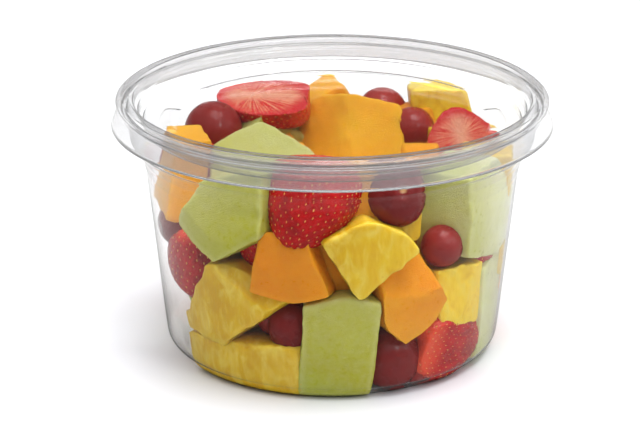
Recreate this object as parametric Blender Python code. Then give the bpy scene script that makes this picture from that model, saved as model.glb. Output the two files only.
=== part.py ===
"""Fruit salad in a clear round tub with a clear press-on lid.

The tub stands on its foot ring at z = 0, centred on the Z axis, with the
front of the salad towards -Y.  Three solids: the tub, the lid, and the heap of
cut fruit that fills the tub.  Lengths are named in millimetres and become
metres when a mesh is made.
"""
import math

import bmesh
import bpy
import numpy as np
from mathutils import Matrix, Vector

MM = 0.001

# Thin-formed clear plastic.
SEGMENTS = 48
TUB_WALL = 0.7
LID_WALL = 0.6

# Tub, outside radii and heights from the foot up to the rolled rim.
PUNT_RADIUS = 36.0
PUNT_RISE = 0.8
FOOT_INNER_RADIUS = 41.0
FOOT_RADIUS = 53.4
BASE_CORNER_RADIUS = 59.3
BASE_CORNER_HEIGHT = 6.3
BODY_TOP_RADIUS = 65.7
BODY_TOP_HEIGHT = 66.5
# Points of the shoulder's curve, as shares of its run outwards and its rise.
SHOULDER_CURVE = ((0.3, 0.48), (0.7, 0.82))
NECK_RADIUS = 71.0
NECK_HEIGHT = 77.8
NECK_TOP_RADIUS = 72.0
NECK_TOP_HEIGHT = 88.8
RIM_RADIUS = 74.0
RIM_HEIGHT = 90.0
RIM_DROP = 1.4

# Lid, radii and heights of its upper surface.
PANEL_HEIGHT = 82.0
PANEL_RADIUS = 65.4
RIB_COUNT = 3
# Where a rib's steep face ends, as shares of the rib's run and rise.
RIB_TREAD = 0.32
RIB_RISER = 0.8
CREST_INNER_RADIUS = 71.0
CREST_RADIUS = 73.9
CREST_HEIGHT = 92.4
BEAD_RADIUS = 76.0
BEAD_HEIGHT = 90.6
GROOVE_RADIUS = 75.4
GROOVE_HEIGHT = 88.7
SKIRT_RADIUS = 77.5
SKIRT_HEIGHT = 82.3

# Raised arc pads on the lid's panel: two long and two short.
PAD_RISE = 1.0
PAD_INNER_RADIUS = 54.5
PAD_OUTER_RADIUS = 61.5
PAD_SLOPE = 0.9
LONG_PAD_HALF_ANGLE = 53.0
SHORT_PAD_HALF_ANGLE = 14.0

# Room that the fruit keeps to the plastic, and the hidden core it sits on.
WALL_GAP = 0.5
FLOOR_GAP = 0.5
LID_GAP = 0.4
SLACK_STEP = 0.06
SLACK_STRIDE = 7
SLACK_LEVELS = 11
SLIVER = 0.005
CORE_INSET = 12.0
CORE_FLOOR = 4.5
CORE_TOP = 59.0
CORE_SHOULDER = 52.0
CORE_SHOULDER_STEP = 12.0
CORE_SEGMENTS = 20

# Pieces against the wall: kind, bearing from the front towards the right in
# degrees, radius and height of the middle, half width, half height, half
# depth, turn in the face, lean of the top inwards, swing, taper upwards, skew.
WALL_PIECES = (
    ("cantaloupe", -76, 53.5, 67.5, 11.5, 14.5, 6.5, 0, 10, 0, -0.15, 0),
    ("honeydew", -36, 51, 64, 17, 17, 11, 0, 8, 0, 0, 0),
    ("strawberry", -9, 51, 71, 17, 17.5, 13, -20, 30, 0, 0, 0),
    ("cantaloupe", 9, 46, 67, 9, 13, 8, 0, 0, 0, 0, 0),
    ("grape", 24, 50, 72.5, 10.5, 13.5, 10.5, 0, 42, 0, 0, 0),
    ("honeydew", 64, 51, 60.5, 20, 16, 10, 0, 0, 0, 0, 0),
    ("pineapple", 85, 54, 65.5, 9, 8, 9, 0, 0, 0, 0, 0),
    ("pineapple", 12, 53, 55, 15, 15, 9, 0, 0, 0, 0, 0),
    ("pineapple", 24, 47, 62, 9, 8, 8, 0, 0, 0, 0, 0),
    ("grape", 43, 54.5, 50, 7.3, 7.5, 7.3, 0, 0, 0, 0, 0),
    ("strawberry", 68, 50, 43, 13, 13, 11, 0, 0, 0, 0, 0),
    ("strawberry", -64, 51, 37.5, 12, 14.5, 11, 12, 0, 0, 0, 0),
    ("grape", -72, 54, 50.5, 9.5, 9.5, 9.5, 0, 0, 0, 0, 0),
    ("strawberry", -28, 45, 51, 12, 12, 11, 0, 0, 0, 0, 0),
    ("cantaloupe", -14, 52.5, 49.5, 13, 12.5, 10, 0, 6, 0, 0, 0),
    ("cantaloupe", 2, 42, 48, 10, 12, 10, 0, 0, 0, 0, 0),
    ("pineapple", -39, 52, 33, 20, 15, 10, 0, 0, 0, 0, 0),
    ("cantaloupe", 26, 52, 35.5, 13, 15, 10, 0, 0, 0, 0, 0),
    ("pineapple", 46, 51, 34, 12.5, 11, 9, 0, 0, -12, 0, 0),
    ("grape", -15.5, 51, 24.5, 8.5, 9.5, 8.5, 0, 0, 0, 0, 0),
    ("grape", -25, 43, 25, 8.5, 8.5, 8.5, 0, 0, 0, 0, 0),
    ("honeydew", 2, 50.5, 19.5, 14, 19, 9.5, 0, 0, 0, 0, 0),
    ("pineapple", -36, 46, 9, 23, 9, 13, 0, 0, 0, -0.1, 0),
    ("grape", 23.5, 49.5, 13.5, 10.2, 10.2, 10.2, 0, 0, 0, 0, 0),
    ("strawberry", 51.5, 49, 13, 14.5, 20.5, 12.5, 80, 0, 0, 0, 0),
    ("honeydew", 73, 50, 21, 14, 17, 9, 0, 0, 0, 0, 0),
)

# Pieces on top: kind, x, y, z of the middle, then as above, facing the front.
TOP_PIECES = (
    ("half_strawberry", -25, 37, 79, 14, 17, 12, -92, 78, 0, 0, 0),
    ("grape", -43, 26, 69.5, 10.5, 10.5, 10.5, 0, 0, 0, 0, 0),
    ("honeydew", -24, -3.3, 64.3, 18, 15, 10, 0, 60, 0, 0, 0),
    ("cantaloupe", -1, 58, 69.5, 8.5, 8.5, 8.5, 30, 0, 20, 0, 0),
    ("cantaloupe", 10, 34, 61.2, 19, 16, 12, 0, 42, 0, 0, 0),
    ("grape", 19, 52, 68.5, 9, 9, 9, 0, 0, 0, 0, 0),
    ("grape", 29.3, 33, 67.3, 8.5, 8.5, 8.5, 0, 0, 0, 0, 0),
    ("pineapple", 40.5, 46, 71, 11.5, 9, 9, 0, 10, 0, 0, 0),
    ("half_strawberry", 46.5, 11, 69, 14.5, 13.5, 8, 190, 35, 10, 0, 0),
    ("cantaloupe", 31, -2, 63, 6.5, 9, 8, 0, 0, 0, 0, 0),
)

# Knife cuts of the pieces that show most, by their place in the table: the
# direction of a cut's outside in the piece's face, its tilt towards the
# viewer, and its distance from the piece's middle.  Such a piece's half width
# and half height aren't used.
WALL_CUTS = {
    1: ((-119, 0, 17.9), (-58, 0, 12.9), (2, 0, 14.8), (109, 0, 12.4), (147, 0, 13.9)),
    5: ((180, 0, 18.5), (-107, 0, 18.7), (-68, 0, 22.0), (-15, 0, 22.0), (45, 0, 15.0), (90, 0, 15.5)),
    7: ((116, 0, 11.2), (72, 0, 10.4), (42, 0, 12.8), (-6, 0, 16.6), (-53, 0, 10.9), (-149, 0, 12.6)),
    14: ((168, 0, 11.7), (-102, 0, 13.5), (-77, 0, 13.5), (20, 0, 9.6), (90, 0, 10.5)),
    16: ((90, 0, 12.6), (65, 0, 14.0), (-52, 0, 12.9), (-93, 0, 16.5), (-150, 0, 21.6), (150, 0, 10.3),
         (49, 50, 13.4)),
    17: ((120, 0, 13.4), (26, 0, 12.0), (-32, 0, 13.0), (-65, 0, 13.5), (-137, 0, 12.0), (-173, 0, 10.1),
         (90, 62, 9.4)),
    18: ((90, 0, 8.7), (1, 0, 12.5), (-97, 0, 12.0), (-175, 0, 7.0)),
    21: ((103, 0, 18.4), (77, 0, 19.6), (-5, 0, 12.8), (-90, 0, 19.0), (178, 0, 12.6)),
    22: ((-175, 0, 21.3), (-90, 0, 9.0), (-3, 0, 25.0), (95, 0, 9.0), (31, 45, 22.5)),
}
TOP_CUTS = {
    2: ((124, 0, 13.3), (51, 0, 11.4), (180, 0, 18.5), (0, 0, 19.0), (-90, 0, 14.0)),
    4: ((75, 0, 14.5), (2, 0, 16.2), (-90, 0, 13.0), (-135, 0, 21.0), (145, 0, 24.0), (180, 55, 12.1)),
    7: ((102, 0, 10.8), (67, 0, 11.1), (18, 0, 10.8), (0, 0, 11.3), (-90, 0, 8.0), (-173, 0, 11.0)),
}

# Rows of pieces for the back and sides, which the front table leaves open:
# height, distance of the middles from the wall, first and last bearing, number.
BACK_ROWS = (
    (13.0, 9.0, 94.0, 290.0, 8),
    (35.5, 9.0, 94.0, 256.0, 8),
    (57.0, 9.0, 98.0, 250.0, 7),
    (61.0, 16.0, 146.0, 214.0, 2),
)
# The heap sinks towards its right, back and left edges: bearing, top height.
EDGE_BEARINGS = (90.0, 110.0, 125.0, 140.0, 220.0, 235.0, 250.0, 265.0)
EDGE_TOPS = (60.0, 66.0, 71.0, 75.0, 75.0, 71.5, 70.0, 65.0)
# Low on the left the pieces stand off the wall.
LEFT_GAP = 14.0
LEFT_GAP_TOP = 45.0
LEFT_GAP_BEARING = 228.0
BACK_KINDS = ("cantaloupe", "grape", "honeydew", "pineapple", "strawberry", "cantaloupe", "honeydew",
              "grape", "pineapple")
# Usual half sizes of a chunk, a grape and a strawberry, and how they vary.
CHUNK_HALF = (12.5, 11.5, 10.5)
CHUNK_RANGE = (0.95, 1.2)
GRAPE_HALF = (9.5, 10.5, 9.5)
GRAPE_RANGE = (0.95, 1.15)
STRAWBERRY_HALF = (12.5, 14.5, 11.0)
STRAWBERRY_RANGE = (0.95, 1.1)
# How far a back piece strays: degrees of bearing, turn, lean and swing, height,
# taper and skew, each to either side.
BEARING_STRAY = 3.0
TURN_STRAY = 35.0
HEIGHT_STRAY = 2.0
LEAN_STRAY = 12.0
SWING_STRAY = 18.0
TAPER_STRAY = 0.25
SKEW_STRAY = 0.2
# Outline of a hulled strawberry from the cut top to the tip: radius, height.
STRAWBERRY_PROFILE = ((0.62, 0.94), (0.96, 0.62), (1.0, 0.15), (0.78, -0.45), (0.42, -0.86))
STRAWBERRY_SIDES = 10
# Half side of the block that a piece is cut from.
CUT_BLANK = 60.0
# How far a chunk's faces, edges and corners stand out from its middle.
CHUNK_EASE = (1.0, 1.0, 0.965, 0.9)
SEED = 11

FRUIT_COLOUR = (0.86, 0.52, 0.12, 1.0)
PLASTIC_COLOUR = (0.92, 0.94, 0.95, 1.0)
PLASTIC_ALPHA = 0.35


def offset_path(points, distance):
    """Move an open radius-height path to its left by a distance, with mitred corners."""
    pts = np.array(points, float)
    step = np.diff(pts, axis=0)
    step = step / np.linalg.norm(step, axis=1)[:, None]
    normal = np.stack([-step[:, 1], step[:, 0]], axis=1)
    first = np.vstack([normal[:1], normal])
    second = np.vstack([normal, normal[-1:]])
    mitre = first + second
    mitre = mitre / (1.0 + (first * second).sum(axis=1))[:, None]
    return pts + mitre * distance


def tub_outer_path():
    """Outside of the tub from the axis, over the foot and the body, to the tip of the rim."""
    corner_drop = BASE_CORNER_RADIUS - FOOT_RADIUS
    corner = [(FOOT_RADIUS + corner_drop * math.sin(a), BASE_CORNER_HEIGHT * (1.0 - math.cos(a)))
              for a in (math.radians(30.0), math.radians(60.0))]
    shoulder_r = NECK_RADIUS - BODY_TOP_RADIUS
    shoulder_z = NECK_HEIGHT - BODY_TOP_HEIGHT
    path = [(0.0, PUNT_RISE), (PUNT_RADIUS, PUNT_RISE), (FOOT_INNER_RADIUS, 0.0), (FOOT_RADIUS, 0.0)]
    path += corner
    path += [(BASE_CORNER_RADIUS, BASE_CORNER_HEIGHT), (BODY_TOP_RADIUS, BODY_TOP_HEIGHT)]
    path += [(BODY_TOP_RADIUS + out * shoulder_r, BODY_TOP_HEIGHT + up * shoulder_z)
             for out, up in SHOULDER_CURVE]
    path += [
        (NECK_RADIUS, NECK_HEIGHT),
        (NECK_TOP_RADIUS, NECK_TOP_HEIGHT),
        (RIM_RADIUS - TUB_WALL - 0.2, RIM_HEIGHT - TUB_WALL),
        (RIM_RADIUS - TUB_WALL, RIM_HEIGHT - RIM_DROP),
    ]
    return path


def lid_upper_path():
    """Upper face of the lid from the axis, over the ribbed recess and the crest, to the skirt's hem."""
    path = [
        (0.0, PANEL_HEIGHT),
        (PAD_INNER_RADIUS, PANEL_HEIGHT),
        (PAD_INNER_RADIUS + PAD_SLOPE, PANEL_HEIGHT),
        (PAD_OUTER_RADIUS - PAD_SLOPE, PANEL_HEIGHT),
        (PAD_OUTER_RADIUS, PANEL_HEIGHT),
        (PANEL_RADIUS, PANEL_HEIGHT),
    ]
    run = (CREST_INNER_RADIUS - PANEL_RADIUS) / RIB_COUNT
    rise = (CREST_HEIGHT - PANEL_HEIGHT) / RIB_COUNT
    for rib in range(RIB_COUNT):
        foot_r = PANEL_RADIUS + run * rib
        foot_z = PANEL_HEIGHT + rise * rib
        path.append((foot_r + RIB_TREAD * run, foot_z + RIB_RISER * rise))
        path.append((foot_r + run, foot_z + rise))
    path += [
        (CREST_RADIUS, CREST_HEIGHT),
        (0.5 * (CREST_RADIUS + BEAD_RADIUS) + 0.4, CREST_HEIGHT - 0.5),
        (BEAD_RADIUS, BEAD_HEIGHT),
        (GROOVE_RADIUS, GROOVE_HEIGHT),
        (SKIRT_RADIUS, SKIRT_HEIGHT),
    ]
    return path


def inner_radius(height):
    """Radius of the tub's inside wall at a height."""
    path = offset_path(tub_outer_path(), TUB_WALL)
    wall = path[3:-3]
    return float(np.interp(height, wall[:, 1], wall[:, 0]))


def make_object(name, bm, colour, roughness, alpha):
    """Turn a bmesh into an object in metres with its own Principled material."""
    bmesh.ops.recalc_face_normals(bm, faces=bm.faces)
    mesh = bpy.data.meshes.new(name)
    bm.to_mesh(mesh)
    bm.free()
    mesh.transform(Matrix.Scale(MM, 4))
    obj = bpy.data.objects.new(name, mesh)
    bpy.context.scene.collection.objects.link(obj)
    material = bpy.data.materials.new(name + "_material")
    material.use_nodes = True
    shader = material.node_tree.nodes["Principled BSDF"]
    shader.inputs["Base Color"].default_value = colour
    shader.inputs["Roughness"].default_value = roughness
    shader.inputs["Alpha"].default_value = alpha
    mesh.materials.append(material)
    return obj


def revolve_shell(upper, lower, lift=None):
    """Revolve a thin wall between two paths that both start on the axis.

    lift(radius, bearing) adds a height to the points of both faces.
    """
    bm = bmesh.new()
    rings = []
    for point in list(upper) + list(lower)[::-1]:
        if point[0] < 1e-6:
            rings.append([bm.verts.new((0.0, 0.0, point[1]))])
            continue
        ring = []
        for i in range(SEGMENTS):
            bearing = 2.0 * math.pi * i / SEGMENTS
            height = point[1]
            if lift:
                height += lift(point[0], bearing)
            ring.append(bm.verts.new((point[0] * math.cos(bearing), point[0] * math.sin(bearing), height)))
        rings.append(ring)
    for low, high in zip(rings[:-1], rings[1:]):
        for i in range(SEGMENTS):
            j = (i + 1) % SEGMENTS
            if len(low) == 1:
                bm.faces.new((low[0], high[i], high[j]))
            elif len(high) == 1:
                bm.faces.new((low[i], low[j], high[0]))
            else:
                bm.faces.new((low[i], low[j], high[j], high[i]))
    return bm


def pad_lift(radius, bearing):
    """Height of the lid's raised pads: long ones front and back, short ones left and right."""
    if not PAD_INNER_RADIUS + 0.5 * PAD_SLOPE < radius < PAD_OUTER_RADIUS - 0.5 * PAD_SLOPE:
        return 0.0
    degrees = math.degrees(bearing) % 180.0
    from_side = min(degrees, 180.0 - degrees)
    from_front = abs(degrees - 90.0)
    if from_side <= SHORT_PAD_HALF_ANGLE or from_front <= LONG_PAD_HALF_ANGLE:
        return PAD_RISE
    return 0.0


def chunk_mesh(half, taper, skew):
    """A melon or pineapple chunk: a cube grid with eased corners, tapered and skewed in width."""
    bm = bmesh.new()
    bmesh.ops.create_cube(bm, size=2.0)
    bmesh.ops.subdivide_edges(bm, edges=bm.edges[:], cuts=1, use_grid_fill=True)
    for vert in bm.verts:
        ones = sum(1 for value in vert.co if abs(value) > 0.5)
        ease = CHUNK_EASE[ones]
        width = 1.0 + taper * vert.co.y
        across = vert.co.x * ease * half[0] * width + skew * vert.co.y * half[1]
        vert.co = (across, vert.co.y * ease * half[1], vert.co.z * ease * half[2])
    return bm


def cut_mesh(depth, cuts):
    """A chunk between knife cuts: a block cut off at each plane, with a point in the middle of each face."""
    bm = bmesh.new()
    bmesh.ops.create_cube(bm, size=2.0 * CUT_BLANK)
    for angle, tilt, distance in list(cuts) + [(0, 90, depth), (0, -90, depth)]:
        a, t = math.radians(angle), math.radians(tilt)
        normal = Vector((math.cos(a) * math.cos(t), math.sin(a) * math.cos(t), math.sin(t)))
        bmesh.ops.bisect_plane(bm, geom=bm.verts[:] + bm.edges[:] + bm.faces[:], dist=SLIVER,
                               plane_co=normal * distance, plane_no=normal, clear_outer=True)
        bmesh.ops.holes_fill(bm, edges=[edge for edge in bm.edges if edge.is_boundary], sides=0)
    bmesh.ops.poke(bm, faces=bm.faces[:])
    return bm


def grape_mesh(half):
    """A grape: an ellipsoid with few sides."""
    bm = bmesh.new()
    bmesh.ops.create_icosphere(bm, subdivisions=2, radius=1.0)
    for vert in bm.verts:
        vert.co = (vert.co.x * half[0], vert.co.y * half[1], vert.co.z * half[2])
    return bm


def strawberry_mesh(half, cut):
    """A hulled strawberry, tip down; with cut, the half behind its flat face."""
    count = STRAWBERRY_SIDES
    bm = bmesh.new()
    rings = []
    for radius, height in STRAWBERRY_PROFILE:
        ring = []
        for i in range(count):
            angle = 2.0 * math.pi * i / count
            depth = radius * math.sin(angle)
            if cut:
                depth = min(depth, 0.0)
            across = radius * math.cos(angle)
            ring.append(bm.verts.new((across * half[0], height * half[1], depth * half[2])))
        rings.append(ring)
    top = bm.verts.new((0.0, half[1], -0.1 * half[2] if cut else 0.0))
    tip = bm.verts.new((0.0, -half[1], -0.1 * half[2] if cut else 0.0))
    for upper, lower in zip(rings[:-1], rings[1:]):
        for i in range(count):
            j = (i + 1) % count
            bm.faces.new((upper[i], lower[i], lower[j], upper[j]))
    for i in range(count):
        j = (i + 1) % count
        bm.faces.new((top, rings[0][i], rings[0][j]))
        bm.faces.new((tip, rings[-1][j], rings[-1][i]))
    return bm


def piece_frame(bearing, centre, turn, lean, swing):
    """Rotation and place of a piece: turned in its face, swung, leant, then set at a bearing."""
    b = math.radians(bearing)
    axes = Matrix(((math.cos(b), 0.0, math.sin(b)), (math.sin(b), 0.0, -math.cos(b)), (0.0, 1.0, 0.0)))
    spin = (Matrix.Rotation(math.radians(-lean), 3, "X") @ Matrix.Rotation(math.radians(swing), 3, "Y")
            @ Matrix.Rotation(math.radians(turn), 3, "Z"))
    frame = (axes @ spin).to_4x4()
    frame.translation = centre
    return frame


def press_to_tub(bm, slack):
    """Flatten a piece where it would pass the tub's wall or floor or the lid's panel.

    slack, a fraction of a millimetre that differs from piece to piece, keeps
    the flattened faces of neighbours out of one plane.
    """
    top = PANEL_HEIGHT - LID_WALL - LID_GAP - slack
    for vert in bm.verts:
        radius = math.hypot(vert.co.x, vert.co.y)
        floor = PUNT_RISE + TUB_WALL + FLOOR_GAP + slack
        if radius > FOOT_INNER_RADIUS:
            ease = min((radius - FOOT_INNER_RADIUS) / (FOOT_RADIUS - FOOT_INNER_RADIUS), 1.0)
            floor -= PUNT_RISE * ease
        vert.co.z = min(max(vert.co.z, floor), top)
        limit = inner_radius(min(vert.co.z, BODY_TOP_HEIGHT)) - WALL_GAP - slack
        if radius > limit:
            vert.co.x *= limit / radius
            vert.co.y *= limit / radius


def piece_mesh(kind, half, taper, skew, cuts):
    """The unplaced shape of one piece of fruit."""
    if cuts:
        return cut_mesh(half[2], cuts)
    if kind == "grape":
        return grape_mesh(half)
    if kind == "strawberry":
        return strawberry_mesh(half, False)
    if kind == "half_strawberry":
        return strawberry_mesh(half, True)
    return chunk_mesh(half, taper, skew)


def back_pieces():
    """Seeded rows of pieces round the back and sides, in the form of the wall table."""
    rng = np.random.default_rng(SEED)
    rows = []
    number = 0
    for height, inset, first, last, count in BACK_ROWS:
        for i in range(count):
            kind = BACK_KINDS[number % len(BACK_KINDS)]
            number += 1
            bearing = first + (last - first) * i / (count - 1) + rng.uniform(-BEARING_STRAY, BEARING_STRAY)
            half = np.array(CHUNK_HALF) * rng.uniform(*CHUNK_RANGE, 3)
            if kind == "grape":
                half = np.array(GRAPE_HALF) * rng.uniform(*GRAPE_RANGE)
            if kind == "strawberry":
                half = np.array(STRAWBERRY_HALF) * rng.uniform(*STRAWBERRY_RANGE)
            turn = rng.uniform(-TURN_STRAY, TURN_STRAY)
            middle = height + rng.uniform(-HEIGHT_STRAY, HEIGHT_STRAY)
            middle = min(middle, np.interp(bearing, EDGE_BEARINGS, EDGE_TOPS) - half[1])
            radius = inner_radius(height) - inset
            if middle < LEFT_GAP_TOP and bearing > LEFT_GAP_BEARING:
                radius -= LEFT_GAP
            lean = rng.uniform(-LEAN_STRAY, LEAN_STRAY)
            swing = rng.uniform(-SWING_STRAY, SWING_STRAY)
            taper = rng.uniform(-TAPER_STRAY, TAPER_STRAY)
            skew = rng.uniform(-SKEW_STRAY, SKEW_STRAY)
            rows.append((kind, bearing, radius, middle, *half, turn, lean, swing, taper, skew))
    return rows


def all_pieces():
    """The shape of every piece of fruit, placed and pressed to the tub."""
    rows = []
    for place, (kind, bearing, radius, height, *form) in enumerate(WALL_PIECES + tuple(back_pieces())):
        b = math.radians(bearing)
        centre = (radius * math.sin(b), -radius * math.cos(b), height)
        rows.append((kind, bearing, centre, form, WALL_CUTS.get(place)))
    for place, (kind, x, y, z, *form) in enumerate(TOP_PIECES):
        rows.append((kind, 0.0, (x, y, z), form, TOP_CUTS.get(place)))
    placed = []
    for number, (kind, bearing, centre, form, cuts) in enumerate(rows):
        hw, hh, hd, turn, lean, swing, taper, skew = form
        bm = piece_mesh(kind, (hw, hh, hd), taper, skew, cuts)
        bm.transform(piece_frame(bearing, centre, turn, lean, swing))
        press_to_tub(bm, SLACK_STEP * (number * SLACK_STRIDE % SLACK_LEVELS))
        placed.append(bm)
    return placed


def core_mesh():
    """The hidden middle of the heap: a tapered drum that every piece runs into."""
    bm = bmesh.new()
    levels = (CORE_FLOOR, 0.5 * CORE_SHOULDER, CORE_SHOULDER, CORE_TOP)
    rings = []
    for z in levels:
        radius = inner_radius(z) - CORE_INSET
        if z > CORE_SHOULDER:
            radius = inner_radius(CORE_SHOULDER) - CORE_INSET - CORE_SHOULDER_STEP
        rings.append([bm.verts.new((radius * math.cos(2.0 * math.pi * i / CORE_SEGMENTS),
                                    radius * math.sin(2.0 * math.pi * i / CORE_SEGMENTS), z))
                      for i in range(CORE_SEGMENTS)])
    for low, high in zip(rings[:-1], rings[1:]):
        for i in range(CORE_SEGMENTS):
            j = (i + 1) % CORE_SEGMENTS
            bm.faces.new((low[i], low[j], high[j], high[i]))
    bm.faces.new(rings[0][::-1])
    bm.faces.new(rings[-1])
    return bm


def keep_outer_shell(obj):
    """Keep the shell with the widest span: drops slivers and loose scraps and fills sealed hollows."""
    bm = bmesh.new()
    bm.from_mesh(obj.data)
    bmesh.ops.triangulate(bm, faces=bm.faces[:])
    bmesh.ops.dissolve_degenerate(bm, dist=SLIVER * MM, edges=bm.edges[:])
    unseen = set(bm.verts)
    shells = []
    while unseen:
        stack = [unseen.pop()]
        shell = set(stack)
        while stack:
            vert = stack.pop()
            for edge in vert.link_edges:
                other = edge.other_vert(vert)
                if other not in shell:
                    shell.add(other)
                    unseen.discard(other)
                    stack.append(other)
        shells.append(shell)
    keep = max(shells, key=lambda shell: max(v.co.x for v in shell) - min(v.co.x for v in shell))
    drop = [vert for vert in bm.verts if vert not in keep]
    bmesh.ops.delete(bm, geom=drop, context="VERTS")
    bm.to_mesh(obj.data)
    bm.free()


def fuse_heap():
    """Join the core and every piece by one Boolean union."""
    heap = make_object("fruit_heap", core_mesh(), FRUIT_COLOUR, 0.4, 1.0)
    group = bpy.data.collections.new("heap_pieces")
    bpy.context.scene.collection.children.link(group)
    pieces = []
    for number, bm in enumerate(all_pieces()):
        piece = make_object("piece_%02d" % number, bm, FRUIT_COLOUR, 0.4, 1.0)
        bpy.context.scene.collection.objects.unlink(piece)
        group.objects.link(piece)
        pieces.append(piece)
    union = heap.modifiers.new("union", "BOOLEAN")
    union.operation = "UNION"
    union.operand_type = "COLLECTION"
    union.collection = group
    union.solver = "EXACT"
    union.use_self = True
    bpy.context.view_layer.objects.active = heap
    bpy.ops.object.modifier_apply(modifier=union.name)
    heap.data.materials.clear()
    heap.data.materials.append(bpy.data.materials["fruit_heap_material"])
    for piece in pieces:
        material = bpy.data.materials[piece.name + "_material"]
        bpy.data.objects.remove(piece, do_unlink=True)
        bpy.data.materials.remove(material)
    bpy.data.collections.remove(group)
    keep_outer_shell(heap)


def build():
    """Clear the scene and make the tub, the lid and the heap."""
    for obj in list(bpy.data.objects):
        bpy.data.objects.remove(obj, do_unlink=True)
    tub_outer = tub_outer_path()
    make_object("tub", revolve_shell(tub_outer, offset_path(tub_outer, TUB_WALL)),
                PLASTIC_COLOUR, 0.05, PLASTIC_ALPHA)
    lid_upper = lid_upper_path()
    make_object("lid", revolve_shell(lid_upper, offset_path(lid_upper, -LID_WALL), pad_lift),
                PLASTIC_COLOUR, 0.05, PLASTIC_ALPHA)
    fuse_heap()


build()
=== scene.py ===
"""Looks of a fruit salad in a clear round tub with a clear press-on lid.

The tub stands on its foot ring at z = 0 with the front of the salad towards
-Y.  Tables and profiles are in millimetres and become metres when a mesh is
made.  Each new surface is worked out with numpy on a grid of two parameters.
"""

import math

import bpy
import numpy as np
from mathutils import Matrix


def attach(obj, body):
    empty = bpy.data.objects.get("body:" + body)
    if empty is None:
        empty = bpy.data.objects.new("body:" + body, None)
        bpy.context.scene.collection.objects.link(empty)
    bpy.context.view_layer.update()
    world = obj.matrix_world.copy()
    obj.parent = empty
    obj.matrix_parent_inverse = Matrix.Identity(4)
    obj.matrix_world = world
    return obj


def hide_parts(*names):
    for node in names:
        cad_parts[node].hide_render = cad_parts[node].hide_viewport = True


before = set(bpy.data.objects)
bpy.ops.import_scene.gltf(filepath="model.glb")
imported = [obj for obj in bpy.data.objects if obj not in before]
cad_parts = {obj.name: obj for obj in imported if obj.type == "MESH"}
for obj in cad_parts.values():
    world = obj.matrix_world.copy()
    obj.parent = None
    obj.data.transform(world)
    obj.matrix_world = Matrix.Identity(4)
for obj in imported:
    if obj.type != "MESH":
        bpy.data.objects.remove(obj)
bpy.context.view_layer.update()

MM = 0.001
SEED = 11

# Tub and lid: outside radii and heights, and the thin walls.
TUB_WALL = 0.5
LID_WALL = 0.45
TURNS = 288
FLOOR_RISE = 0.8
FOOT_INNER = 41.0
FOOT_OUTER = 53.4
WALL_TOP = 66.5
TUB_PROFILE = (  # radius, height, rounding of the corner
    (0.0, FLOOR_RISE, 0.0), (36.0, FLOOR_RISE, 3.0), (FOOT_INNER, 0.0, 2.5), (FOOT_OUTER, 0.0, 4.5),
    (59.0, 4.6, 5.0), (59.9, 12.0, 9.0), (65.7, WALL_TOP, 7.0), (67.3, 71.9, 6.0), (69.4, 75.8, 5.0),
    (71.0, 77.8, 2.5), (72.0, 88.8, 0.9), (73.1, 89.3, 0.7), (73.5, 88.3, 0.0),
)
PANEL_HEIGHT = 82.0
PANEL_RADIUS = 65.4
CREST_RADIUS = 71.0
CREST_HEIGHT = 92.4
RIBS = 3
RIB_BREAK = (0.32, 0.8)  # shares of a rib's run and rise at its bend
RIB_ROUNDING = 1.1
PANEL_ROUNDING = 0.9
LID_EDGE = (  # radius, height, rounding of the corner
    (74.0, CREST_HEIGHT, 1.3), (76.0, 91.2, 1.2), (75.3, 88.7, 1.2), (76.9, 83.6, 0.9), (77.5, 82.3, 0.0),
)
PAD_RISE = 0.55
PAD_RADII = (54.5, 61.5)
PAD_SLOPE = 2.2
LONG_PAD_HALF_ANGLE = 53.0
SHORT_PAD_HALF_ANGLE = 14.0

# Haze of the lid's plastic: from which radius the skirt has it, the width it
# comes in over, and the ribs' share of it.
SKIRT_HAZE_RADIUS = 74.0
HAZE_EASE = 0.8
RIB_HAZE = 0.05

# Room between the fruit and the plastic.
WALL_GAP = 0.35
FLOOR_GAP = 0.4
LID_GAP = 0.5
CAD_TUB_WALL = 0.7
CAD_LID_WALL = 0.6
SEED_INSET = 0.12

# Inside of the tub as the fruit meets it: height, outside radius.
TUB_HEIGHTS = (0.0, 0.844, 3.15, 6.3, WALL_TOP, 71.924, 75.766, 77.8, 88.8)
TUB_RADII = (FOOT_OUTER, 56.35, 58.51, 59.3, 65.7, 67.29, 69.41, 71.0, 72.0)

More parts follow.
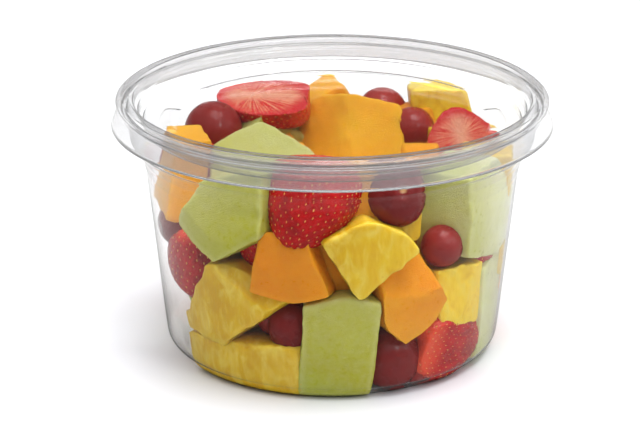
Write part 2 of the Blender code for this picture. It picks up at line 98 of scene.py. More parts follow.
# Pieces against the wall: kind, bearing from the front towards the right in
# degrees, radius and height of the middle, half width, half height, half
# depth, turn in the face, lean of the top inwards, swing, taper upwards, skew.
WALL_PIECES = (
    ("cantaloupe", -76, 53.5, 67.5, 11.5, 14.5, 6.5, 0, 10, 0, -0.15, 0),
    ("honeydew", -36, 51, 64, 17, 17, 11, 0, 8, 0, 0, 0),
    ("strawberry", -9, 51, 71, 17, 17.5, 13, -20, 30, 0, 0, 0),
    ("cantaloupe", 9, 46, 67, 9, 13, 8, 0, 0, 0, 0, 0),
    ("grape", 24, 50, 72.5, 10.5, 13.5, 10.5, 0, 42, 0, 0, 0),
    ("honeydew", 64, 51, 60.5, 20, 16, 10, 0, 0, 0, 0, 0),
    ("pineapple", 85, 54, 65.5, 9, 8, 9, 0, 0, 0, 0, 0),
    ("pineapple", 12, 53, 55, 15, 15, 9, 0, 0, 0, 0, 0),
    ("pineapple", 24, 47, 62, 9, 8, 8, 0, 0, 0, 0, 0),
    ("grape", 43, 54.5, 50, 7.3, 7.5, 7.3, 0, 0, 0, 0, 0),
    ("strawberry", 68, 50, 43, 13, 13, 11, 0, 0, 0, 0, 0),
    ("strawberry", -64, 51, 37.5, 12, 14.5, 11, 12, 0, 0, 0, 0),
    ("grape", -72, 54, 50.5, 9.5, 9.5, 9.5, 0, 0, 0, 0, 0),
    ("strawberry", -28, 45, 51, 12, 12, 11, 0, 0, 0, 0, 0),
    ("cantaloupe", -14, 52.5, 49.5, 13, 12.5, 10, 0, 6, 0, 0, 0),
    ("cantaloupe", 2, 42, 48, 10, 12, 10, 0, 0, 0, 0, 0),
    ("pineapple", -39, 52, 33, 20, 15, 10, 0, 0, 0, 0, 0),
    ("cantaloupe", 26, 52, 35.5, 13, 15, 10, 0, 0, 0, 0, 0),
    ("pineapple", 46, 51, 34, 12.5, 11, 9, 0, 0, -12, 0, 0),
    ("grape", -15.5, 51, 24.5, 8.5, 9.5, 8.5, 0, 0, 0, 0, 0),
    ("grape", -25, 43, 25, 8.5, 8.5, 8.5, 0, 0, 0, 0, 0),
    ("honeydew", 2, 50.5, 19.5, 14, 19, 9.5, 0, 0, 0, 0, 0),
    ("pineapple", -36, 46, 9, 23, 9, 13, 0, 0, 0, -0.1, 0),
    ("grape", 23.5, 49.5, 11.5, 10.4, 11.6, 10.4, 0, 0, 0, 0, 0),
    ("strawberry", 51.5, 49, 13, 14.5, 20.5, 12.5, 80, 0, 0, 0, 0),
    ("honeydew", 73, 50, 21, 14, 17, 9, 0, 0, 0, 0, 0),
)

# Pieces on top: kind, x, y, z of the middle, then as above, facing the front.
TOP_PIECES = (
    ("half_strawberry", -25, 37, 79, 14, 17, 12, -92, 78, 0, 0, 0),
    ("grape", -43, 26, 69.5, 10.5, 10.5, 10.5, 0, 0, 0, 0, 0),
    ("honeydew", -24, -3.3, 64.3, 18, 15, 10, 0, 60, 0, 0, 0),
    ("cantaloupe", -1, 58, 68.6, 8.3, 8.1, 8.3, 30, 0, 20, 0, 0),
    ("cantaloupe", 10, 34, 61.2, 19, 16, 12, 0, 42, 0, 0, 0),
    ("grape", 19, 52, 68.5, 9, 9, 9, 0, 0, 0, 0, 0),
    ("grape", 29.3, 33, 67.3, 8.5, 8.5, 8.5, 0, 0, 0, 0, 0),
    ("pineapple", 40.5, 46, 71, 11.5, 9, 9, 0, 10, 0, 0, 0),
    ("half_strawberry", 46.5, 11, 69, 14.5, 13.5, 8, 190, 35, 10, 0, 0),
    ("cantaloupe", 31, -2, 63, 6.5, 9, 8, 0, 0, 0, 0, 0),
)

# Pieces in the middle of the top, hidden from the front by those above.
MIDDLE_PIECES = (
    ("pineapple", 0, -19, 58, 11, 9, 7.5, 25, 82, 0, 0.1, 0),
    ("grape", 16, -14, 57.5, 9, 9, 9, 0, 0, 0, 0, 0),
    ("honeydew", -4, 1, 54.5, 11, 10, 7.5, -20, 78, 0, -0.1, 0.1),
    ("half_strawberry", 14, 3, 54.5, 12, 12.5, 10, 40, 80, 0, 0, 0),
    ("grape", 27, 13, 55, 9, 9.5, 9, 0, 0, 0, 0, 0),
    ("cantaloupe", -18, 17, 56, 10, 11, 8, 35, 75, 0, 0.1, 0),
    ("pineapple", -30, 10, 58, 9, 9, 7.5, -10, 80, 0, 0, 0),
)

# Knife cuts of the pieces that show most, by their place in the table: the
# direction of a cut's outside in the piece's face, its tilt towards the
# viewer, and its distance from the piece's middle.
WALL_CUTS = {
    1: ((-119, 0, 17.9), (-58, 0, 12.9), (2, 0, 14.8), (109, 0, 12.4), (147, 0, 13.9)),
    5: ((180, 0, 18.5), (-107, 0, 18.7), (-68, 0, 22.0), (-15, 0, 22.0), (45, 0, 15.0), (90, 0, 15.5)),
    7: ((116, 0, 11.2), (72, 0, 10.4), (42, 0, 12.8), (-6, 0, 16.6), (-53, 0, 10.9), (-149, 0, 12.6)),
    14: ((168, 0, 11.7), (-102, 0, 13.5), (-77, 0, 13.5), (20, 0, 9.6), (90, 0, 10.5)),
    16: ((90, 0, 12.6), (65, 0, 14.0), (-52, 0, 12.9), (-93, 0, 16.5), (-150, 0, 21.6), (150, 0, 10.3),
         (49, 50, 13.4)),
    17: ((120, 0, 13.4), (26, 0, 12.0), (-32, 0, 13.0), (-65, 0, 13.5), (-137, 0, 12.0), (-173, 0, 10.1),
         (90, 62, 9.4)),
    18: ((90, 0, 8.7), (1, 0, 12.5), (-97, 0, 12.0), (-175, 0, 7.0)),
    21: ((103, 0, 18.4), (77, 0, 19.6), (-5, 0, 12.8), (-90, 0, 19.0), (178, 0, 12.6)),
    22: ((-175, 0, 21.3), (-90, 0, 9.0), (-3, 0, 25.0), (95, 0, 9.0), (31, 45, 22.5)),
}
TOP_CUTS = {
    2: ((124, 0, 13.3), (51, 0, 11.4), (180, 0, 18.5), (0, 0, 19.0), (-90, 0, 14.0)),
    4: ((75, 0, 14.5), (2, 0, 16.2), (-90, 0, 13.0), (-135, 0, 21.0), (145, 0, 24.0), (180, 55, 12.1)),
    7: ((102, 0, 10.8), (67, 0, 11.1), (18, 0, 10.8), (0, 0, 11.3), (-90, 0, 8.0), (-173, 0, 11.0)),
}

# How deep the colour of a shown piece is, by its place in the table: in its
# middle, and the change to its right and to its top. Others are seeded. This
# is partly the pieces' own colour and partly painted light and shade: the low
# front pieces are set deep and dark where less light reaches them, most top
# ones pale, and the changes across a piece paint part of the light on its sides.
WALL_TONES_AND_SHADING = {
    0: (0.2, 0.2, 0.0), 1: (0.9, 0.1, -0.1), 4: (0.8, 0.0, 0.0), 5: (0.2, -0.5, 0.0), 7: (0.75, -0.3, 0.1),
    9: (0.4, 0.0, 0.0), 14: (0.95, -0.1, 0.0), 16: (1.0, -0.1, 0.0), 17: (0.85, 0.15, -0.1),
    18: (0.2, 0.0, 0.0), 19: (0.8, 0.0, 0.0), 21: (0.95, 0.0, -0.1), 22: (1.0, -0.2, 0.0),
    23: (0.7, 0.0, 0.0), 25: (0.15, 0.0, 0.0),
}
TOP_TONES_AND_SHADING = {
    1: (0.4, 0.0, 0.0), 2: (0.65, -0.1, 0.0), 3: (0.1, 0.0, 0.0), 4: (0.0, 0.12, 0.0), 5: (0.0, 0.0, 0.0),
    6: (0.1, 0.0, 0.0), 7: (0.0, 0.0, 0.0), 9: (0.7, 0.0, 0.0),
}
TONE_RANGE = (0.35, 1.0)

# Rows of pieces for the back and sides: height, distance of the middles from
# the wall, first and last bearing, number.
BACK_ROWS = (
    (13.0, 9.0, 94.0, 290.0, 8),
    (35.5, 9.0, 94.0, 256.0, 8),
    (57.0, 9.0, 98.0, 250.0, 7),
    (61.0, 16.0, 146.0, 214.0, 2),
)
EDGE_BEARINGS = (90.0, 110.0, 125.0, 140.0, 220.0, 235.0, 250.0, 265.0)
EDGE_TOPS = (60.0, 66.0, 71.0, 75.0, 75.0, 71.5, 70.0, 65.0)
LEFT_GAP = 14.0
LEFT_GAP_TOP = 45.0
LEFT_GAP_BEARING = 228.0
BACK_KINDS = ("cantaloupe", "grape", "honeydew", "pineapple", "strawberry", "cantaloupe", "honeydew",
              "grape", "pineapple")
CHUNK_HALF = (12.5, 11.5, 10.5)
CHUNK_RANGE = (0.95, 1.2)
GRAPE_HALF = (9.5, 10.5, 9.5)
GRAPE_RANGE = (0.95, 1.15)
STRAWBERRY_HALF = (12.5, 14.5, 11.0)
STRAWBERRY_RANGE = (0.95, 1.1)
BEARING_STRAY = 3.0
TURN_STRAY = 35.0
HEIGHT_STRAY = 2.0
LEAN_STRAY = 12.0
SWING_STRAY = 18.0
TAPER_STRAY = 0.25
SKEW_STRAY = 0.2

# Rings of smaller pieces that close the view between the outer ones: height,
# radius, number. One grape more fills the gap low at the front right.
FILL_RINGS = ((14.0, 34.0, 9), (31.0, 35.0, 9), (46.0, 34.0, 9))
FILL_KINDS = ("cantaloupe", "pineapple", "honeydew", "grape", "cantaloupe")
FILL_HALF = (11.5, 11.0, 10.0)
FILL_RANGE = (0.9, 1.15)
FILL_GRAPE_RANGE = (0.9, 1.05)
GAP_GRAPE = ("grape", 35.0, 49.0, 7.6, 9.0, 8.2, 9.0, 0.0, 0.0, 0.0, 0.0, 0.0)

# Unseen middle of the heap, a core under the pieces: radius, height.
CORE_PROFILE = ((0.0, 3.5), (30.0, 3.5), (38.0, 8.0), (39.0, 28.0), (38.0, 46.0), (30.0, 55.0), (18.0, 58.0),
                (0.0, 58.5))
CORE_TURNS = 120
CORE_ROWS = 70

# Chunks: how round and how ragged their edges are, the sizes of their swell
# and of their ripple, and the usual half size of one with knife cuts.
CHUNK_ROUNDING = 1.7
RAGGEDNESS = {"cantaloupe": 0.22, "honeydew": 0.22, "pineapple": 0.42}
SWELL_SIZE = 30.0
RIPPLE_SIZE = 6.0
CUT_HALF = 14.0

# Strawberries: seeds on one of the usual size, half sizes of a seed and the
# change of its width, its depth in the skin, its dimple, the lobes.
SEED_COUNT = 300
SEED_HALF = (0.27, 0.6, 0.26)
SEED_FLARE = 0.1
SEED_RANGE = (0.7, 0.92)
SEED_DEPTH = 0.34
DIMPLE_DEPTH = 0.5
DIMPLE_WIDTH = 0.72
LOBE_SIZE = 28.0
LOBE_RISE = 0.6
GOLDEN_ANGLE = math.radians(137.508)
BERRY_ROWS = 66
BERRY_TURNS = 132
BACK_STEPS = 64
FACE_STEPS = 44

# Outline of a hulled strawberry from the cut top to the tip: radius, height.
STRAWBERRY_PROFILE = ((0.0, 0.86), (0.3, 0.93), (0.62, 0.94), (0.9, 0.72), (1.0, 0.3), (0.93, -0.12),
                      (0.72, -0.52), (0.42, -0.84), (0.17, -0.97), (0.0, -1.0))

FRUIT_KINDS = ("cantaloupe", "honeydew", "pineapple", "grape", "strawberry", "seed")

# Plastic: tints, the skirt's haze and its tint.
TUB_TINT = (0.975, 0.977, 0.98, 1.0)
LID_TINT = (0.91, 0.912, 0.916, 1.0)
SKIRT_HAZE = 0.12
SKIRT_TINT = (0.7, 0.7, 0.705, 1.0)
PLASTIC_IOR = 1.4

# Levels of the white room round the tub. A pair is one for light and one for
# what surfaces mirror. The edge is the rise of the direction in which the
# ceiling reaches its full level.
FRONT_WALL = (0.3, 0.12)
BACK_WALL = 0.65
DARK_BAND = 0.03
CEILING_EDGE = (0.8, 0.56)
CEILING = (1.8, 0.85)
ZENITH = (1.0, 0.3)

# Lamps in metres: name, place, size, power, whether surfaces mirror it.
LAMPS = (
    ("overhead", (0.2, -0.08, 1.3), 0.7, 15.0, False),
    ("right_window", (1.2, -0.3, 0.7), 0.6, 2.2, True),
    ("glint", (0.75, -0.9, 0.95), 0.22, 1.6, True),
)
LAMP_TARGET = (0.0, 0.0, 0.05)

# Camera in metres and degrees; its focal length in widths of the picture.
VIEW_TARGET = (-0.0043, 0.0, 0.0474)
VIEW_DISTANCE = 0.93
VIEW_DOWN = 19.84
FOCAL_WIDTHS = 2615.0 / 640.0
SENSOR_WIDTH = 36.0

# Half the width of the table top in metres.
TABLE_REACH = 6.0


def linear(red, green, blue):
    """Screen colour in 0 to 255 as a linear colour with full alpha."""
    value = np.array((red, green, blue)) / 255.0
    value = np.where(value <= 0.04045, value / 12.92, ((value + 0.055) / 1.055) ** 2.4)
    return (float(value[0]), float(value[1]), float(value[2]), 1.0)


# Mesh helpers.

def part(points, faces, **attributes):
    """One shape in millimetres: its points, its blocks of faces and its per-point attributes."""
    return {"points": points, "faces": faces, "attributes": attributes}


def make_piece(name, parts, finish):
    """Join shapes into one smooth mesh object in metres and give it its finish."""
    points = np.concatenate([p["points"] for p in parts]) * MM
    starts = np.cumsum([0] + [len(p["points"]) for p in parts[:-1]])
    blocks = [block + start for start, p in zip(starts, parts) for block in p["faces"]]
    sizes = np.concatenate([np.full(len(block), block.shape[1]) for block in blocks])
    corners = np.concatenate([block.ravel() for block in blocks])
    mesh = bpy.data.meshes.new(name)
    mesh.vertices.add(len(points))
    mesh.vertices.foreach_set("co", points.ravel())
    mesh.loops.add(len(corners))
    mesh.loops.foreach_set("vertex_index", corners)
    mesh.polygons.add(len(sizes))
    mesh.polygons.foreach_set("loop_start", np.concatenate([[0], np.cumsum(sizes)[:-1]]))
    mesh.polygons.foreach_set("use_smooth", np.ones(len(sizes), bool))
    mesh.update(calc_edges=True)
    for key in parts[0]["attributes"]:
        values = np.concatenate([np.asarray(p["attributes"][key], float) for p in parts])
        if values.ndim == 2:
            mesh.attributes.new(key, "FLOAT_VECTOR", "POINT").data.foreach_set("vector", values.ravel())
        else:
            mesh.attributes.new(key, "FLOAT", "POINT").data.foreach_set("value", values)
    mesh.materials.append(finish)
    piece = bpy.data.objects.new(name, mesh)
    bpy.context.scene.collection.objects.link(piece)
    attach(piece, "root")
    return piece


def grid_faces(rows, columns, closed):
    """Quads between neighbouring points of a rows by columns grid; closed joins the last column to
    the first."""
    i = np.arange(rows - 1)[:, None]
    j = np.arange(columns if closed else columns - 1)[None, :]
    k = (j + 1) % columns
    corners = (i * columns + j, i * columns + k, (i + 1) * columns + k, (i + 1) * columns + j)
    return np.stack(np.broadcast_arrays(*corners), axis=-1).reshape(-1, 4)


def wrapped_faces(rows, columns):
    """Faces of rows of points carried round an axis, with a fan at either end to one of the two
    points that follow them."""
    j = np.arange(columns)
    k = (j + 1) % columns
    first = rows * columns
    last = (rows - 1) * columns
    start_fan = np.stack([np.full(columns, first), k, j], axis=1)
    end_fan = np.stack([np.full(columns, first + 1), last + j, last + k], axis=1)
    return [grid_faces(rows, columns, True), start_fan, end_fan]


def smooth_path(points, count):
    """Evenly spaced points on a Catmull-Rom curve through the given radius-height points."""
    pts = np.array(points, float)
    ends = np.vstack([2.0 * pts[0] - pts[1], pts, 2.0 * pts[-1] - pts[-2]])
    t = np.linspace(0.0, len(pts) - 1.0, 40 * len(pts))
    i = np.minimum(t.astype(int), len(pts) - 2)
    f = (t - i)[:, None]
    a, b, c, d = ends[i], ends[i + 1], ends[i + 2], ends[i + 3]
    curve = 0.5 * (2.0 * b + (c - a) * f + (2.0 * a - 5.0 * b + 4.0 * c - d) * f ** 2
                   + (3.0 * b - a - 3.0 * c + d) * f ** 3)
    length = np.concatenate([[0.0], np.cumsum(np.linalg.norm(np.diff(curve, axis=0), axis=1))])
    even = np.linspace(0.0, length[-1], count)
    return np.stack([np.interp(even, length, curve[:, 0]), np.interp(even, length, curve[:, 1])], axis=1)


def rounded_path(corners, steps=6):
    """A path with its corners rounded: each corner becomes a quadratic arc that leaves the legs at
    radius times the tangent of half the turn, or at 0.45 of the shorter leg."""
    pts = np.array([c[:2] for c in corners], float)
    out = [pts[:1]]
    t = np.linspace(0.0, 1.0, steps + 1)[:, None]
    for before, here, after, corner in zip(pts[:-2], pts[1:-1], pts[2:], corners[1:-1]):
        back, ahead = before - here, after - here
        lengths = np.linalg.norm(back), np.linalg.norm(ahead)
        back, ahead = back / lengths[0], ahead / lengths[1]
        turn = math.pi - math.acos(float(np.clip(back @ ahead, -1.0, 1.0)))
        cut = min(corner[2] * math.tan(0.5 * turn), 0.45 * min(lengths))
        start, end = here + back * cut, here + ahead * cut
        out.append((1.0 - t) ** 2 * start + 2.0 * t * (1.0 - t) * here + t ** 2 * end)
    out.append(pts[-1:])
    return np.concatenate(out)


def offset_path(points, distance):
    """The path moved to its left by a distance, with mitred corners."""
    step = np.diff(points, axis=0)
    step = step / np.linalg.norm(step, axis=1)[:, None]
    normal = np.stack([-step[:, 1], step[:, 0]], axis=1)
    first = np.vstack([normal[:1], normal])
    second = np.vstack([normal, normal[-1:]])
    mitre = first + second
    mitre = mitre / (1.0 + (first * second).sum(axis=1))[:, None]
    return points + mitre * distance


def close_up(path, longest):
    """Split the path's legs so that none is longer than the given length."""
    out = [path[:1]]
    for a, b in zip(path[:-1], path[1:]):
        count = max(1, int(math.ceil(np.linalg.norm(b - a) / longest)))
        out.append(a + (b - a) * (np.arange(1, count + 1) / count)[:, None])
    return np.concatenate(out)


def spun(path, turns, lift=None):
    """A path from the axis to the axis, carried round it as (r cos b, r sin b, z + lift(r, b)), with
    one welded point at each end: its points and faces."""
    ring = path[1:-1]
    bearing = np.arange(turns) * 2.0 * math.pi / turns
    r, b = np.meshgrid(ring[:, 0], bearing, indexing="ij")
    z = np.repeat(ring[:, 1:], turns, axis=1)
    if lift is not None:
        z = z + lift(r, b)
    body = np.stack([r * np.cos(b), r * np.sin(b), z], axis=-1).reshape(-1, 3)
    points = np.concatenate([body, [(0.0, 0.0, path[0, 1]), (0.0, 0.0, path[-1, 1])]])
    return points, wrapped_faces(len(ring), turns)


def thin_wall(first, second, lift=None):
    """A thin wall of revolution: one path and the other path back, carried round the axis, with its
    faces turned so that they look outward."""
    loop = np.concatenate([first, second[::-1]])
    area = 0.5 * np.sum(loop[:-1, 0] * loop[1:, 1] - loop[1:, 0] * loop[:-1, 1])
    points, faces = spun(loop, TURNS, lift)
    if area < 0.0:
        faces = [block[:, ::-1] for block in faces]
    return part(points, faces)


# Tub and lid.

def step_up(value):
    """Smooth step from 0 to 1 over the unit interval."""
    t = np.clip(value, 0.0, 1.0)
    return t * t * (3.0 - 2.0 * t)


def pad_lift(r, b):
    """Raised pads: full rise between the two pad radii and within the half angle of the nearest of
    front and back or of left and right, falling smoothly over the slope's width."""
    across = step_up((r - PAD_RADII[0]) / PAD_SLOPE) * step_up((PAD_RADII[1] - r) / PAD_SLOPE)
    degrees = np.degrees(b) % 180.0
    from_side = np.minimum(degrees, 180.0 - degrees)
    from_front = np.abs(degrees - 90.0)
    arc = math.radians(1.0) * 0.5 * sum(PAD_RADII)
    long_pad = step_up((LONG_PAD_HALF_ANGLE - from_front) * arc / PAD_SLOPE)
    short_pad = step_up((SHORT_PAD_HALF_ANGLE - from_side) * arc / PAD_SLOPE)
    return PAD_RISE * across * np.maximum(long_pad, short_pad)


def lid_corners():
    """Upper face of the lid from the axis over the panel and three ribs to the crest and the hem."""
    corners = [(0.0, PANEL_HEIGHT, 0.0), (PANEL_RADIUS, PANEL_HEIGHT, PANEL_ROUNDING)]
    run = (CREST_RADIUS - PANEL_RADIUS) / RIBS
    rise = (CREST_HEIGHT - PANEL_HEIGHT) / RIBS
    for rib in range(RIBS):
        foot_r = PANEL_RADIUS + run * rib
        foot_z = PANEL_HEIGHT + rise * rib
        corners.append((foot_r + RIB_BREAK[0] * run, foot_z + RIB_BREAK[1] * rise, RIB_ROUNDING))
        corners.append((foot_r + run, foot_z + rise, RIB_ROUNDING))
    return corners + list(LID_EDGE)


def make_tub(finish):
    """The tub as a thin wall of revolution."""
    outer = close_up(rounded_path(TUB_PROFILE), 3.0)
    shape = thin_wall(outer, offset_path(outer, TUB_WALL))
    piece = make_piece("clear_tub", [shape], finish)
    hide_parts("tub")


def haze_share(path):
    """Share of the skirt's haze along the lid's path: none on the panel, little on the ribs, all of
    it on the skirt."""
    skirt = step_up((path[:, 0] - SKIRT_HAZE_RADIUS) / HAZE_EASE)
    return np.maximum(skirt, RIB_HAZE * step_up((path[:, 0] - PANEL_RADIUS) / HAZE_EASE))


def make_lid(finish):
    """The lid as a thin wall of revolution with raised pads and a hazy skirt. Its panel has rings
    close together where the pads rise and fall."""
    upper = rounded_path(lid_corners(), 5)
    panel = upper[:, 0] < PAD_RADII[1] + 1.0
    inner = np.concatenate([np.arange(0.0, PAD_RADII[0] - 1.0, 4.0),
                            np.arange(PAD_RADII[0] - 0.3, PAD_RADII[0] + 1.4, 0.3),
                            np.arange(PAD_RADII[0] + 2.0, PAD_RADII[1] - 1.5, 1.0),
                            np.arange(PAD_RADII[1] - 1.2, PAD_RADII[1] + 0.5, 0.3)])
    flat = np.stack([inner, np.full(len(inner), PANEL_HEIGHT)], axis=1)
    upper = np.concatenate([flat, close_up(upper[~panel], 2.0)])
    lower = offset_path(upper, -LID_WALL)
    shape = thin_wall(upper, lower, pad_lift)
    rings = np.concatenate([haze_share(upper)[1:], haze_share(lower)[:0:-1]])
    shape["attributes"]["milky"] = np.concatenate([np.repeat(rings, TURNS), [0.0, 0.0]])
    piece = make_piece("clear_lid", [shape], finish)
    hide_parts("lid")


# Fruit shapes.

def bell(value, width):
    """A bell curve: 1 at zero, and 1 over e at the width."""
    return np.exp(-(value / width) ** 2)


def seeded_way(rng):
    """A unit vector in a seeded direction."""
    way = rng.normal(size=3)
    return way / np.linalg.norm(way)


def wobble(points, rng, size, amount):
    """A smooth push for each point: eight sine waves of about the given length with seeded
    directions."""
    waves = rng.normal(size=(8, 3)) * 3.7 / size
    phase = rng.uniform(0.0, 2.0 * math.pi, 8)
    push = rng.normal(size=(8, 3)) * amount / math.sqrt(8.0)
    return np.sin(points @ waves.T + phase) @ push


def cube_grid(steps, crowd):
    """The unit cube's surface: six square grids whose lines crowd towards the edges by a power,
    welded where they meet."""
    t = np.linspace(-1.0, 1.0, steps + 1)
    t = np.sign(t) * (1.0 - (1.0 - np.abs(t)) ** crowd)
    u, v = np.meshgrid(t, t, indexing="ij")
    one = np.ones_like(u)
    sides = ((one, u, v), (-one, v, u), (v, one, u), (u, -one, v), (u, v, one), (v, u, -one))
    points = np.stack([np.stack(side, axis=-1).reshape(-1, 3) for side in sides]).reshape(-1, 3)
    quads = grid_faces(steps + 1, steps + 1, False)[:, ::-1]
    quads = np.concatenate([quads + n * (steps + 1) ** 2 for n in range(6)])
    keys = np.round(points * 1e6).astype(np.int64)
    _, first, weld = np.unique(keys, axis=0, return_index=True, return_inverse=True)
    return points[first], weld.reshape(-1)[quads]


CUBE_POINTS, CUBE_QUADS = cube_grid(18, 1.55)
FINE_POINTS, FINE_QUADS = cube_grid(36, 1.0)


def chunk(half, taper, skew, rng, raggedness):
    """A knife-cut chunk: a box with its edges rounded by clamping each point to the box less the
    rounding and pushing it out again, then with waves of two sizes, tapered and skewed."""
    half = np.array(half, float)
    cube = CUBE_POINTS
    box = cube * half
    vary = 1.0 + 0.45 * wobble(box, rng, 14.0, 1.0)[:, :1]
    radius = np.clip(CHUNK_ROUNDING * vary, 0.35 * CHUNK_ROUNDING, 0.6 * half.min())
    inner = np.clip(box, -(half - radius), half - radius)
    away = box - inner
    away = away / np.maximum(np.linalg.norm(away, axis=1)[:, None], 1e-9)
    shape = inner + away * radius
    edge = np.clip((np.sort(np.abs(cube), axis=1)[:, 1:2] - 0.72) / 0.28, 0.0, 1.0)
    ripple = wobble(shape, rng, SWELL_SIZE, 0.5) + wobble(shape, rng, RIPPLE_SIZE, raggedness) * (0.25 + edge)
    shape = shape + ripple
    y = shape[:, 1] / half[1]
    x = shape[:, 0] * (1.0 + taper * y) + skew * y * half[1]
    grain = shape / 10.0 + rng.uniform(-40.0, 40.0, 3)
    ripe = np.clip(0.5 + 0.5 * (shape / half) @ seeded_way(rng), 0.0, 1.0)
    points = np.stack([x, shape[:, 1], shape[:, 2]], axis=1)
    tone = np.full(len(points), rng.uniform(*TONE_RANGE))
    return part(points, [CUBE_QUADS], grain=grain, ripe=ripe, tone=tone, edge=edge[:, 0])


def cut_chunk(depth, cuts, rng, raggedness):
    """A chunk between knife cuts: each point lies in its own direction from the middle, at the
    distance where the cut planes stop it, by a norm of a high power so that edges and corners are
    rounded, with waves of two sizes."""
    angles = np.radians([(turn, tilt) for turn, tilt, _ in cuts] + [(0.0, 90.0), (0.0, -90.0)])
    turn, tilt = angles[:, 0], angles[:, 1]
    stops = np.array([stop for _, _, stop in cuts] + [depth, depth])
    normals = np.stack([np.cos(turn) * np.cos(tilt), np.sin(turn) * np.cos(tilt), np.sin(tilt)], axis=1)
    way = FINE_POINTS * np.array((CUT_HALF, CUT_HALF, depth))
    way = way / np.linalg.norm(way, axis=1)[:, None]
    reach = np.maximum(way @ normals.T / stops, 0.0)
    power = 24.0 * (1.0 + 0.3 * wobble(way, rng, 1.2, 1.0)[:, :1])
    power = np.clip(power, 12.0, 40.0)
    most = reach.max(axis=1)[:, None]
    total = most[:, 0] * ((reach / most) ** power).sum(axis=1) ** (1.0 / power[:, 0])
    shape = way / total[:, None]
    order = np.sort(reach, axis=1)
    edge = np.clip((order[:, -2] / order[:, -1] - 0.75) / 0.25, 0.0, 1.0)
    swell = wobble(shape, rng, SWELL_SIZE, 0.4)
    shape = shape + swell + wobble(shape, rng, RIPPLE_SIZE, raggedness) * (0.25 + edge)[:, None]
    ripe = np.clip(0.5 + 0.5 * (shape / CUT_HALF) @ seeded_way(rng), 0.0, 1.0)
    grain = shape / 10.0 + rng.uniform(-40.0, 40.0, 3)
    tone = np.full(len(shape), rng.uniform(*TONE_RANGE))
    return part(shape, [FINE_QUADS], grain=grain, ripe=ripe, tone=tone, edge=edge)


def ball_grid(rows, columns):
    """Polar angle and bearing of the points of a ball's grid, row by row with its two poles last,
    and the faces."""
    polar = np.linspace(0.0, math.pi, rows + 1)[1:-1]
    bearing = np.arange(columns) * 2.0 * math.pi / columns
    a, b = np.meshgrid(polar, bearing, indexing="ij")
    a = np.concatenate([a.ravel(), [0.0, math.pi]])
    b = np.concatenate([b.ravel(), [0.0, 0.0]])
    return a, b, [block[:, ::-1] for block in wrapped_faces(rows - 1, columns)]


GRAPE_POLAR, GRAPE_BEARING, GRAPE_FACES = ball_grid(40, 48)


def grape(half, rng):
    """A grape: an ellipsoid with a dip at the stalk's scar and a low ring round it, a smaller dip at
    the other end and a gentle swell, with the scar turned to a seeded side."""
    a, b = GRAPE_POLAR, GRAPE_BEARING
    radius = 1.0 - 0.055 * bell(a, 0.16) + 0.012 * bell(a - 0.26, 0.07) - 0.02 * bell(math.pi - a, 0.12)
    ball = np.stack([np.sin(a) * np.sin(b), np.cos(a), np.sin(a) * np.cos(b)], axis=1)
    unit = ball * radius[:, None] + wobble(ball, rng, 3.0, 0.018)
    turn = rng.normal(size=(3, 3))
    turn, _ = np.linalg.qr(turn)
    turn = turn * np.sign(np.linalg.det(turn))
    points = (unit @ turn.T) * np.array(half)
    grain = ball + rng.uniform(-40.0, 40.0, 3)
    scar = bell(a, 0.13) + 0.5 * bell(math.pi - a, 0.06)
    tone = np.full(len(points), rng.uniform(0.0, 1.0))
    return part(points, GRAPE_FACES, grain=grain, scar=scar, tone=tone)


def seed_places(path, half, count, span):
    """Places of the seeds: turned by the golden angle from one to the next and spaced down the
    profile so that each has an equal share of the skin. Gives points, outward normals and the
    direction down the skin."""
    r, y = path[:, 0] * half[0], path[:, 1] * half[1]
    share = np.concatenate([[0.0], np.cumsum(0.5 * (r[1:] + r[:-1]) * np.hypot(np.diff(r), np.diff(y)))])
    share = share / share[-1]
    s = 0.07 + 0.925 * (np.arange(count) + 0.5) / count
    at = np.interp(s, share, np.arange(len(path)))
    index = np.arange(len(path))
    radius = np.interp(at, index, path[:, 0])
    height = np.interp(at, index, path[:, 1])
    slope_r = np.interp(at, index, np.gradient(path[:, 0]))
    slope_y = np.interp(at, index, np.gradient(path[:, 1]))
    b = np.arange(count) * GOLDEN_ANGLE * (span / (2.0 * math.pi)) % span
    half = np.array(half)
    points = np.stack([radius * np.cos(b), height, radius * np.sin(b)], axis=1) * half
    down = np.stack([slope_r * np.cos(b), slope_y, slope_r * np.sin(b)], axis=1) * half
    round_way = np.stack([-np.sin(b), np.zeros(count), np.cos(b)], axis=1) * half
    down = down / np.linalg.norm(down, axis=1)[:, None]
    normal = np.cross(round_way, down)
    normal = normal / np.linalg.norm(normal, axis=1)[:, None]
    return points, normal, down


def nearness(points, places):
    """How near the skin is to a seed: a bell of the dimple's width round the nearest one."""
    apart = ((points[:, None, :] - places[None, :, :]) ** 2).sum(axis=2).min(axis=1)
    return bell(np.sqrt(apart), DIMPLE_WIDTH)


SEED_POLAR, SEED_BEARING, SEED_FACES = ball_grid(4, 6)


def seeds(places, normals, down, rng):
    """Seeds: small drop shapes, wider above, lying along the skin in their dimples."""
    a, b = SEED_POLAR, SEED_BEARING
    x = (SEED_HALF[0] + SEED_FLARE * np.cos(a)) * np.sin(a) * np.cos(b)
    y = -SEED_HALF[1] * np.cos(a)
    z = SEED_HALF[2] * np.sin(a) * np.sin(b)
    size = rng.uniform(*SEED_RANGE, len(places))[:, None, None]
    axes = np.stack([np.cross(down, normals), down, normals], axis=1)
    points = places[:, None, :] + size * (np.stack([x, y, z], axis=1)[None] @ axes)
    jump = np.arange(len(places))[:, None, None] * len(a)
    faces = [(block[None] + jump).reshape(-1, block.shape[1]) for block in SEED_FACES]
    tone = np.repeat(rng.uniform(0.0, 1.0, len(places)), len(a))
    return part(points.reshape(-1, 3), faces, tone=tone)


